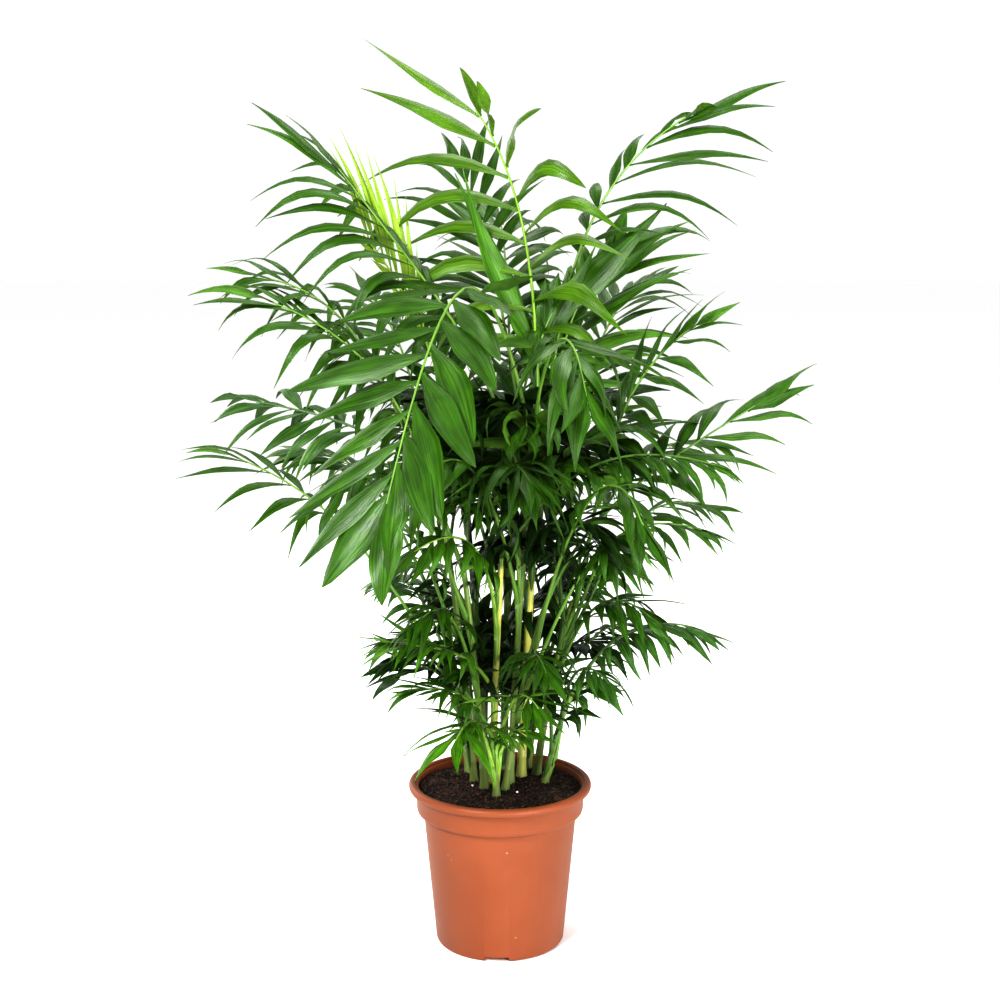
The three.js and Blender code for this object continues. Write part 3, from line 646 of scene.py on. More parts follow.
@dataclass
class PottingSoil:
    """Soil that fills the pot, heaped a little in the middle, with crumbs and fibres on it."""

    pot: NurseryPot
    level: float = 183
    edge: float = 179
    flat_radius: float = 78
    gap: float = 0.3
    sides: int = 120
    rings: int = 34
    crumbs: int = 2600
    pearls: int = 5
    bare_rim: float = 3
    seed: int = 7

    RELIEFS = (("heaps", 26, 1, 5.0), ("crumbs", 5, 4, 4.0))
    RELIEF_LEVEL = 0.55
    BLOCK = np.array([(x, y, z) for z in (-1, 1) for x, y in ((-1, -1), (1, -1), (1, 1), (-1, 1))], float)
    BLOCK_FACES = ((0, 3, 2, 1), (4, 5, 6, 7), (0, 1, 5, 4), (1, 2, 6, 5), (2, 3, 7, 6), (3, 0, 4, 7))
    LENGTH = (1.6, 7.0)
    WIDTH = (0.5, 1.6)
    DEPTH = (0.4, 1.0)
    PEARL = (0.8, 1.4)
    DENT = 0.3
    SAG = 0.3
    TILT = 0.45
    LIFT = 0.8
    LITTER = (
        PlainFinish("crumb_dark", srgb(18, 11, 8), srgb(34, 22, 16)),
        PlainFinish("crumb_brown", srgb(46, 29, 21), srgb(70, 46, 33)),
        PlainFinish("crumb_light", srgb(112, 80, 58), srgb(84, 58, 42)),
        PlainFinish("pearl", srgb(236, 232, 224), srgb(214, 208, 198)),
    )
    KINDS = (0, 0, 0, 0, 1, 1, 1, 2)

    @property
    def mouth(self) -> float:
        """Radius of the soil where it meets the pot's band."""
        return self.pot.band_radius - self.pot.wall - self.gap

    def height_at(self, radius: float) -> float:
        """Height of the surface a distance from the middle."""
        out = (radius - self.flat_radius) / (self.mouth - self.flat_radius)
        return blend(self.level, self.edge, max(0.0, out))

    def outline(self) -> list[tuple[float, float]]:
        """Radius and height of each ring, from the floor up the wall and over the top."""
        pot, gap = self.pot, self.gap
        radii = [self.mouth * (1 - step / self.rings) for step in range(1, self.rings)]
        return [
            (pot.bore(pot.floor) - gap, pot.floor + gap),
            (pot.bore(pot.waist_height) - gap, pot.waist_height),
            (self.mouth, pot.band_foot + gap),
            (self.mouth, self.edge),
            *((radius, self.height_at(radius)) for radius in radii),
        ]

    def build(self) -> None:
        """Models the soil's body, and strews the crumbs."""
        soil = Bench.extruded("soil_body", Ring.stack(self.outline()), self.sides)
        top = soil.vertex_groups.new(name="top")
        top.add([v.index for v in soil.data.vertices if v.co.z > self.edge * MM + 1e-5], 1.0, "REPLACE")
        for name, size, depth, strength in self.RELIEFS:
            texture = bpy.data.textures.new(name, "CLOUDS")
            texture.noise_scale = size * MM
            texture.noise_depth = depth
            relief = soil.modifiers.new(name, "DISPLACE")
            relief.texture = texture
            relief.texture_coords = "LOCAL"
            relief.direction = "Z"
            relief.vertex_group = "top"
            relief.mid_level = self.RELIEF_LEVEL
            relief.strength = strength * MM
        Bench.apply_modifiers(soil)
        soil.data.materials.append(SoilFinish().make())
        Bench.smooth(soil, 60)
        Bench.hand_over(soil, "potting_soil", ["soil"])
        self._strew()

    def _strew(self) -> None:
        """Strews dented blocks and pale pearls over the soil, joined in one piece."""
        dice = np.random.default_rng(self.seed)
        litter = Foliage()
        for number in range(self.crumbs + self.pearls):
            pearl = number >= self.crumbs
            radius = (self.pot.band_radius - self.pot.wall - self.bare_rim) * math.sqrt(dice.uniform(0, 1))
            turn = dice.uniform(0, 2 * math.pi)
            length, width, depth = (dice.uniform(*span) for span in (self.LENGTH, self.WIDTH, self.DEPTH))
            size = np.full(3, dice.uniform(*self.PEARL)) if pearl else np.array([length, width, depth]) / 2
            shape = self.BLOCK * size * (1 + dice.uniform(-self.DENT, self.DENT, (8, 3)))
            shape[:, 2] += -self.SAG * depth * np.abs(shape[:, 0]) / size[0]
            spin = Matrix.Rotation(dice.uniform(0, 2 * math.pi), 3, "Z")
            tilt = Matrix.Rotation(dice.normal(0, self.TILT), 3, "Y")
            middle = [radius * math.cos(turn), radius * math.sin(turn), self.height_at(radius) + self.LIFT]
            kind = len(self.LITTER) - 1 if pearl else int(dice.choice(self.KINDS))
            litter.add(shape @ np.array(spin @ tilt).T + middle, self.BLOCK_FACES, kind)
        piece = litter.piece("soil_crumbs", [finish.make() for finish in self.LITTER])
        Bench.hand_over(piece, "potting_soil", [])


# ---------------------------------------------------------------- joined pieces from arrays


class Foliage:
    """Collects the points and faces of many small closed shapes, to be joined in one piece."""

    GRAIN = "grain"

    def __init__(self) -> None:
        """Starts with nothing in it."""
        self.points: list[np.ndarray] = []
        self.grain: list[np.ndarray] = []
        self.faces: list[tuple[int, ...]] = []
        self.kinds: list[int] = []
        self.count = 0

    def add(self, points: np.ndarray, faces: Sequence[tuple[int, ...]], kinds: int | Sequence[int],
            grain: np.ndarray | None = None) -> None:
        """Adds one closed shape.

        Args:
            points: Its corners in millimetres.
            faces: Its faces, as numbers of those corners.
            kinds: Number of the material of all its faces, or of each.
            grain: Across, along and number of each corner, for the patterns that follow it.
        """
        self.points.append(points)
        self.grain.append(np.zeros_like(points) if grain is None else grain)
        self.faces.extend(tuple(corner + self.count for corner in face) for face in faces)
        self.kinds.extend([kinds] * len(faces) if isinstance(kinds, int) else kinds)
        self.count += len(points)

    def piece(self, name: str, materials: Sequence[bpy.types.Material]) -> bpy.types.Object:
        """Joins what was added.

        Args:
            name: The piece's name.
            materials: Its materials, in the order of the numbers given with the shapes.

        Returns:
            The piece.
        """
        mesh = bpy.data.meshes.new(name)
        mesh.from_pydata((np.concatenate(self.points) * MM).tolist(), [], self.faces)
        for material in materials:
            mesh.materials.append(material)
        mesh.polygons.foreach_set("material_index", self.kinds)
        grain = mesh.attributes.new(self.GRAIN, "FLOAT_VECTOR", "POINT")
        grain.data.foreach_set("vector", np.concatenate(self.grain).astype(np.float32).ravel())
        mesh.validate()
        piece = bpy.data.objects.new(name, mesh)
        bpy.context.scene.collection.objects.link(piece)
        Bench.smooth(piece, 50)
        return piece


# ---------------------------------------------------------------- curves


class Bezier:
    """Bezier curve, read by its own parameter or by shares of its length."""

    STEPS = 200

    def __init__(self, *controls: np.ndarray) -> None:
        """Keeps the control points and measures the curve."""
        self.controls = np.array(controls, float)
        self.steps = np.linspace(0, 1, self.STEPS + 1)
        chords = np.linalg.norm(np.diff(self.point(self.steps), axis=0), axis=1)
        self.travelled = np.concatenate([[0.0], np.cumsum(chords)])
        self.length = float(self.travelled[-1])

    def _cast(self, controls: np.ndarray, step: np.ndarray) -> np.ndarray:
        """Points of the curve of some controls, by repeated halving."""
        step = np.atleast_1d(step)[:, None]
        level = [np.broadcast_to(control, (len(step), 3)) for control in controls]
        while len(level) > 1:
            level = [low * (1 - step) + high * step for low, high in zip(level, level[1:])]
        return level[0]

    def point(self, step: np.ndarray | float) -> np.ndarray:
        """Points at values of the parameter."""
        return self._cast(self.controls, np.asarray(step, float))

    def tangent(self, step: np.ndarray | float) -> np.ndarray:
        """Unit directions at values of the parameter."""
        slope = self._cast(np.diff(self.controls, axis=0), np.asarray(step, float))
        return slope / np.linalg.norm(slope, axis=1, keepdims=True)

    def step_at(self, share: np.ndarray | float) -> np.ndarray:
        """Parameters at shares of the length."""
        return np.interp(np.asarray(share, float) * self.length, self.travelled, self.steps)


def pointing(heading: float, slope: float) -> np.ndarray:
    """Unit vector with a heading from +X towards +Y and a slope above level, in degrees."""
    turn, climb = math.radians(heading), math.radians(slope)
    return np.array([math.cos(turn) * math.cos(climb), math.sin(turn) * math.cos(climb), math.sin(climb)])


def unit(vector: np.ndarray) -> np.ndarray:
    """The same way with a length of 1."""
    return vector / np.linalg.norm(vector, axis=-1, keepdims=True)


# ---------------------------------------------------------------- canes


@dataclass(frozen=True)
class Cane:
    """One stem: foot on the soil, top, and radius above the flare and at the top."""

    name: str
    foot: tuple[float, float]
    top: tuple[float, float, float]
    radius: tuple[float, float]
    pale: bool = False

    SOIL = 183
    GAP = 0.3
    FLARE = 1.35
    FLARE_HEIGHT = 22
    BEND_OUT = 0.3
    BEND_UP = 0.5

    def line(self) -> Bezier:
        """Centre line, upright at the foot and leaning out towards the top."""
        start = np.array([*self.foot, self.SOIL + self.GAP])
        end = np.array(self.top, float)
        shares = np.array([self.BEND_OUT, self.BEND_OUT, self.BEND_UP])
        return Bezier(start, start + (end - start) * shares, end)

    def radius_at(self, share: float) -> float:
        """Radius a share of the way up, with the flare at the foot."""
        climbed = share * (self.top[2] - self.SOIL)
        flare = 1 + (self.FLARE - 1) * max(0.0, 1 - climbed / self.FLARE_HEIGHT) ** 2
        return blend(*self.radius, share) * flare


CANES = {cane.name: cane for cane in (
    Cane("tall", (25, 30), (45, 5, 570), (5.4, 3.6), pale=True),
    Cane("olive", (12, 6), (34, -14, 548), (4.2, 3)),
    Cane("pale", (-9, 4), (2, -12, 452), (5, 2.8), pale=True),
    Cane("left", (-18, -12), (-40, -30, 440), (4.4, 3)),
    Cane("left_out", (-30, 12), (-66, 2, 505), (4.2, 3)),
    Cane("left_back", (-17, 36), (-42, 40, 540), (4.4, 3)),
    Cane("right", (6, -16), (45, -28, 385), (4.2, 2.8)),
    Cane("right_out", (43, 36), (82, 0, 400), (4.8, 3.2)),
    Cane("right_low", (52, 8), (84, -8, 300), (4, 2.6)),
    Cane("back", (4, 58), (14, 96, 500), (5.4, 3.4)),
    Cane("back_left", (-36, 44), (-76, 92, 400), (5, 3)),
    Cane("back_right", (32, 60), (78, 104, 420), (5, 3)),
    Cane("shoot", (-4, -38), (-6, -52, 262), (4, 2.6)),
)}


@dataclass
class CaneClump:
    """The stems, each with the ring scars of the leaves that it has shed."""

    sides: int = 14
    flare_stops: tuple[float, ...] = (0, 4, 10, 18)
    first_scar: float = 24
    above_scars: float = 12
    scar_pitch: float = 34
    scar_height: float = 2.4
    scar_swell: float = 1.07
    scar_neck: float = 0.99
    uneven: float = 0.3
    stretch: float = 0.12

    def stops(self, cane: Cane, seed: int) -> list[tuple[float, float]]:
        """Share of the way up and swelling of each ring of a cane."""
        rise = cane.top[2] - cane.SOIL
        half = self.scar_height / rise / 2
        found = [(height / rise, 1.0) for height in self.flare_stops]
        height = self.first_scar
        number = 0
        while height < rise - self.above_scars:
            share = height / rise
            found += [(share - half, 1.0), (share, self.scar_swell)]
            found += [(share + half, self.scar_swell), (share + 2 * half, self.scar_neck)]
            number += 1
            height += self.scar_pitch * (1 + self.uneven * spread(seed, number)) * (1 + self.stretch * number)
            found.append(((share + 2 * half + min(height, rise) / rise) / 2, 1.0))
        return sorted([*found, (1.0, 1.0)])

    def build(self) -> None:
        """Models every cane by extruding its foot up its line."""
        green = CaneFinish("green_cane", srgb(92, 122, 48), srgb(136, 156, 78), srgb(112, 124, 70)).make()
        pale = CaneFinish("pale_cane", srgb(176, 180, 80), srgb(210, 206, 126), srgb(142, 146, 78)).make()
        for seed, cane in enumerate(CANES.values()):
            line = cane.line()
            rings = [
                Ring(cane.radius_at(share) * swell, line.point(share)[0])
                for share, swell in self.stops(cane, seed)
            ]
            piece = Bench.extruded(f"stem_{cane.name}", rings, self.sides)
            piece.data.materials.append(pale if cane.pale else green)
            Bench.smooth(piece, 50)
            Bench.hand_over(piece, "pale_cane" if cane.pale else "green_cane", [f"cane_{cane.name}"])


# ---------------------------------------------------------------- fronds


class Part(Enum):
    """Joined piece that a frond's leaflets and rib go into."""

    UPPER = "upper"
    SPEAR = "spear"
    LEFT = "left"
    RIGHT = "right"
    FRONT = "front"
    BACK = "back"


@dataclass(frozen=True)
class Frond:
    """One frond.

    at is its place on the cane as a share of the cane's length. heading is the way it points, in
    degrees from +X towards +Y. reach and rise place its tip from its base. leaf and wide are the
    longest leaflet's size. launch and nod are its slopes at base and tip, bow how strongly it
    arches and turn how far its base heads to one side of its tip. bare is the share of the rib
    below the first of its pairs of leaflets. left and right shorten one side, fan opens the
    leaflets out, lift raises them above the frond's plane, hang bends them down again and roll
    tilts the plane itself. A closed frond has not opened yet. finer is how many leaflets grow for
    each pair of the solid. sweep turns the left leaflets out and the right ones in and curl bends
    their tips down, in degrees. last is the width of the last pair over the others', wild is how
    unruly the leaflets are, blunt how little they are drawn out to their tips, sky how strongly
    they turn their upper side to the sky and stiff how straight the last pair stands. tail is how
    much of their length the right leaflets keep towards the tip.
    """

    name: str
    cane: str
    at: float
    heading: float
    reach: float
    rise: float
    part: Part
    tone: Tone
    leaf: float
    wide: float
    launch: float = 72
    nod: float = -20
    bow: float = 0.42
    bare: float = 0.4
    pairs: int = 8
    lift: float = 0
    hang: float = 50
    turn: float = 0
    roll: float = 0
    fan: float = 1
    left: float = 1
    right: float = 1
    closed: bool = False
    finer: float = 1.4
    sweep: float = 0
    curl: float = 8
    last: float = 1.25
    wild: float = 1
    blunt: float = 0
    sky: float = 1.2
    stiff: float = 0
    tail: float = 1


# what the fronds on one side have in common
LEFT = partial(Frond, part=Part.LEFT, tone=Tone.FRESH, launch=75, finer=1.1, curl=30, wild=2)
RIGHT = partial(Frond, part=Part.RIGHT, tone=Tone.MID, bow=0.45, bare=0.45, leaf=62, wide=10, lift=-20,
                finer=1.1, curl=30, wild=2)
MIDDLE = partial(Frond, part=Part.FRONT, tone=Tone.FRESH, nod=-30, bow=0.5, pairs=9, lift=-10, hang=40,
                 finer=1.1, curl=12, wild=2)
BEHIND = partial(Frond, part=Part.BACK, tone=Tone.MID, launch=60, wide=16, hang=52, curl=20, wild=1.4)

# each row gives a frond's name, cane, at, heading, reach and rise, and then what sets it apart
FRONDS = (
    Frond("crest", "tall", 1, 166, 74, 373, Part.UPPER, Tone.SUNNY, launch=87, nod=53, bow=0.34, bare=0.3,
        leaf=195, wide=27, lift=15, hang=48, turn=20, roll=-108, fan=1.25, finer=1, curl=22, last=0.65,
        stiff=1, tail=0.35),
    Frond("upper_right", "tall", 0.93, 10, 158, 393, Part.UPPER, Tone.FRESH, launch=85, nod=31, bow=0.37,
        bare=0.56, pairs=9, leaf=158, wide=17, lift=-14, hang=24, turn=20, roll=40, fan=0.78, left=0.42,
        finer=0.9, curl=30),
    MIDDLE("front_sweep", "tall", 0.97, 242, 315, 0, nod=-60, bow=0.92, bare=0.42, pairs=10, leaf=140,
        wide=34, lift=6, hang=2, turn=-10, fan=1.3, finer=1, sweep=-16, wild=1, blunt=1, sky=0.1),
    Frond("back_upper", "tall", 0.85, 129, 125, 365, Part.UPPER, Tone.FRESH, launch=75, nod=60, bow=0.4,
        pairs=9, leaf=120, wide=15, lift=5, hang=38, roll=-30, finer=1.2, curl=30, wild=1.5),
    MIDDLE("centre_high", "olive", 1, 281, 250, 110, launch=81, nod=-50, leaf=115, wide=24, lift=-5,
        turn=4, fan=0.8, finer=1, curl=20, wild=1.6, blunt=0.4, sky=0.5),
    Frond("spear", "left_back", 1, 174, 112, 268, Part.SPEAR, Tone.LIME, launch=82, nod=48, bow=0.3,
        bare=0.52, pairs=6, leaf=153, wide=8.5, hang=0, roll=-95, left=0.2, closed=True, finer=1.5,
        last=1),
    Frond("upper_left", "olive", 0.95, 172, 205, 350, Part.UPPER, Tone.FRESH, launch=75, nod=52,
        bare=0.45, pairs=9, leaf=154, wide=19, lift=-15, hang=60, turn=4, roll=-20, fan=0.9, right=0.8,
        curl=28, stiff=0.7),
    Frond("right_back", "tall", 0.75, 30, 100, 320, Part.UPPER, Tone.BRIGHT, launch=74, nod=48, bow=0.4,
        pairs=9, leaf=150, wide=24, lift=5, hang=20, turn=20, roll=40, fan=0.8, left=0.5, finer=1,
        curl=30, wild=1.3, blunt=0.4),
    LEFT("left_upper", "left_out", 1, 193, 185, 256, launch=62, nod=12, bow=0.36, pairs=10, leaf=105,
        wide=14, hang=58, roll=-25, curl=50, wild=1.4),
    LEFT("left_lower", "left", 1, 197, 205, 298, launch=66, nod=22, pairs=10, leaf=120, wide=15, hang=55,
        turn=15, roll=-30, finer=1.2, curl=35, wild=1.4),
    LEFT("left_dark", "left_back", 0.9, 168, 245, 112, tone=Tone.BLUISH, launch=45, nod=8, bow=0.4,
        bare=0.45, pairs=9, leaf=96, wide=19, lift=-5, roll=-20, finer=1, curl=25, wild=1.6, blunt=0.5),
    LEFT("far_left", "left", 0.4, 182, 256, 280, launch=53, nod=22, bow=0.37, bare=0.62, leaf=110,
        wide=14, hang=35, turn=-6, roll=-15, finer=0.8, curl=15, wild=1.3),
    LEFT("left_mid", "left_out", 0.55, 212, 122, 125, tone=Tone.MID, launch=58, nod=-30, bow=0.5,
        bare=0.35, leaf=85, wide=12, lift=-5, hang=43, turn=15),
    LEFT("mid_left", "pale", 0.68, 238, 160, 120, tone=Tone.BRIGHT, bow=0.46, bare=0.35, leaf=80, wide=16,
        lift=-20, hang=62, turn=20),
    LEFT("left_small", "left_back", 0.5, 160, 98, 50, tone=Tone.DEEP, launch=80, nod=-42, bow=0.5,
        bare=0.35, pairs=7, leaf=70, wide=10, lift=-10, hang=40, turn=10),
    RIGHT("right_up", "right_out", 0.98, 335, 135, 318, tone=Tone.FRESH, launch=75, nod=33, bow=0.36,
        pairs=9, leaf=92, wide=18, lift=5, hang=24, turn=-10, roll=45, finer=0.85, sweep=-12, wild=1.6),
    RIGHT("far_right", "right", 1, 358, 232, 240, nod=32, bow=0.38, bare=0.5, leaf=110, wide=19, lift=0,
        hang=28, turn=-6, roll=30, finer=0.75, last=1.5, wild=1.4, stiff=0.6),
    RIGHT("right_comb", "pale", 1, 340, 240, 115, launch=55, nod=-15, bare=0.4, pairs=10, leaf=64,
        lift=-25, hang=72, turn=-15, finer=1.3, curl=25, wild=1.8),
    RIGHT("right_low", "right", 0.6, 326, 215, 205, tone=Tone.FRESH, launch=60, nod=-12, bow=0.42,
        pairs=10, hang=64, turn=-15),
    MIDDLE("centre_low", "right", 0.85, 297, 225, 165, nod=-55, bow=0.49, leaf=85, wide=15, turn=8,
        curl=30),
    RIGHT("lower_right", "right_low", 1, 325, 150, 92, tone=Tone.BLUISH, launch=55, nod=-6, bow=0.4,
        bare=0.25, leaf=76, wide=14, turn=-10, wild=1.6, blunt=0.5),
    RIGHT("lower_right_small", "right_low", 0.6, 292, 125, 85, tone=Tone.BLUISH, launch=66, nod=-24,
        bow=0.44, pairs=7, lift=-10, hang=38, turn=-15, blunt=0.5),
    LEFT("lower_left", "pale", 0.42, 222, 140, 80, tone=Tone.BRIGHT, launch=55, nod=10, bow=0.4, leaf=78,
        wide=13, hang=30, turn=15),
    LEFT("lower_left_small", "shoot", 0.95, 216, 98, 70, launch=65, nod=0, bare=0.3, leaf=68, wide=10,
        lift=-5, hang=36, turn=10),
    MIDDLE("low_front", "shoot", 0.5, 240, 78, 50, tone=Tone.BRIGHT, launch=75, bow=0.6, bare=0.3,
        pairs=5, leaf=84, wide=15, lift=5, hang=22, fan=1.4, wild=1.5, blunt=0.3),
    MIDDLE("low_front_right", "shoot", 0.8, 305, 76, 62, tone=Tone.BRIGHT, launch=70, nod=-35, bare=0.35,
        pairs=5, leaf=84, wide=13, lift=5, hang=25, fan=1.3, wild=1.5, blunt=0.3),
    # fronds that fill the middle; some of them, inside the crown, take the darker tone with painted shade
    RIGHT("right_mid", "right_out", 0.75, 8, 160, 160, launch=60, nod=-10, bare=0.38, pairs=9, leaf=80,
        wide=12, hang=48),
    RIGHT("right_small", "right_out", 0.45, 18, 110, 75, tone=Tone.DEEP, launch=58, bare=0.38, pairs=7,
        lift=-10, hang=40),
    MIDDLE("front_mid", "olive", 0.6, 236, 190, 150, nod=-40, bare=0.42, pairs=7, leaf=90, wide=17,
        curl=30, wild=3),
    MIDDLE("front_left_mid", "left", 0.8, 226, 180, 165, launch=65, nod=-35, bare=0.38, leaf=95, wide=14,
        curl=30),
    BEHIND("inner_back", "back", 0.75, 318, 150, 150, tone=Tone.DEEP, launch=75, bow=0.45, bare=0.35,
        leaf=95, wide=18, lift=-5, wild=2),
    BEHIND("inner_left", "left_back", 0.68, 20, 130, 150, tone=Tone.DEEP, launch=75, nod=-15, bow=0.45,
        bare=0.35, leaf=90, lift=-5, wild=2),
    MIDDLE("inner_front", "right_out", 0.88, 292, 112, 120, tone=Tone.DEEP, bare=0.35, pairs=8, leaf=80,
        wide=16, lift=-5, hang=52, finer=1.3, curl=20),
    RIGHT("inner_low", "right_low", 0.35, 262, 75, 80, tone=Tone.DEEP, launch=75, nod=-30, bow=0.5,
        bare=0.3, pairs=7, lift=-5, hang=36),
    LEFT("inner_low_left", "left_out", 0.16, 205, 80, 85, tone=Tone.DEEP, nod=-25, bow=0.5, bare=0.3,
        pairs=7, leaf=66, wide=10, lift=-5, hang=36),
    # the back half of the crown
    BEHIND("back_high", "back", 1, 95, 165, 330, tone=Tone.FRESH, launch=80, nod=25, bare=0.38, pairs=10,
        leaf=130, wide=18, hang=40, curl=25),
    BEHIND("back_sweep", "back", 0.92, 72, 215, 140, tone=Tone.FRESH, launch=76, nod=-40, bow=0.6,
        bare=0.42, pairs=10, leaf=122, wide=20, hang=40, turn=8, finer=1.2, wild=1.3),
    BEHIND("back_out", "back", 0.72, 118, 200, 190, launch=65, nod=0, pairs=9, leaf=110, lift=-5, hang=48,
        wild=1.5),
    BEHIND("back_left_high", "back_left", 1, 122, 165, 335, tone=Tone.FRESH, launch=78, nod=25, pairs=9,
        leaf=110, hang=42),
    BEHIND("back_left_wide", "back_left", 0.85, 150, 200, 180, nod=-5, bare=0.38, pairs=9, leaf=100,
        wide=15, lift=-5, hang=50, wild=1.5),
    BEHIND("back_left_low", "back_left", 0.5, 128, 142, 95, bare=0.38, leaf=70, wide=14, lift=-10,
        wild=1.6),
    BEHIND("back_right_high", "back_right", 1, 55, 175, 330, tone=Tone.FRESH, launch=78, nod=20, pairs=9,
        leaf=115, hang=42),
    BEHIND("back_right_wide", "back_right", 0.85, 26, 195, 175, nod=-5, bare=0.38, pairs=9, leaf=95,
        lift=-10, hang=50, wild=1.5),
    BEHIND("back_right_low", "back_right", 0.5, 52, 170, 90, bare=0.38, leaf=75, wide=14, lift=-10,
        wild=1.6),
    BEHIND("back_low", "back", 0.45, 92, 190, 80, launch=62, nod=-25, bow=0.45, leaf=80, wide=14,
        lift=-10, wild=1.6),
)

# fronds without a solid of their own: a FLAG is one broad pair of blades high up, HEART and FLOOR
# fill the middle, FOOT and FALL stand and hang in front, COLLAR and LOW close in on the canes;
# HEART, FLOOR and LOW take the darker tone with painted shade, FOOT and FALL the lighter one with
# painted light
FLAG = partial(Frond, part=Part.UPPER, bow=0.4, bare=0.7, pairs=2, closed=True, last=1, sky=0.1)
HEART = partial(Frond, part=Part.BACK, tone=Tone.DEEP, launch=76, nod=10, bare=0.35, leaf=115, wide=20,
                curl=25, wild=2)
FLOOR = partial(Frond, part=Part.BACK, tone=Tone.DEEP, launch=78, nod=10, bare=0.3, pairs=9, hang=30,
                curl=25, wild=2)
FOOT = partial(Frond, part=Part.FRONT, tone=Tone.BRIGHT, launch=65, nod=-40, bow=0.5, bare=0.2, pairs=4,
               lift=10, hang=40, fan=1.5, curl=15, wild=1.5, blunt=0.3)
FALL = partial(Frond, part=Part.FRONT, tone=Tone.BRIGHT, nod=-30, bow=0.5, bare=0.2, pairs=6, leaf=84,
               wide=20, lift=-5, curl=40, wild=2.5, blunt=0.5, sky=0.5)
COLLAR = partial(Frond, bow=0.5, bare=0.35, lift=-5, wild=2)
LOW = partial(Frond, part=Part.BACK, tone=Tone.DEEP, launch=75, bow=0.5, bare=0.3, leaf=70, wide=15,
              lift=-5, hang=30, finer=1.1, wild=2)

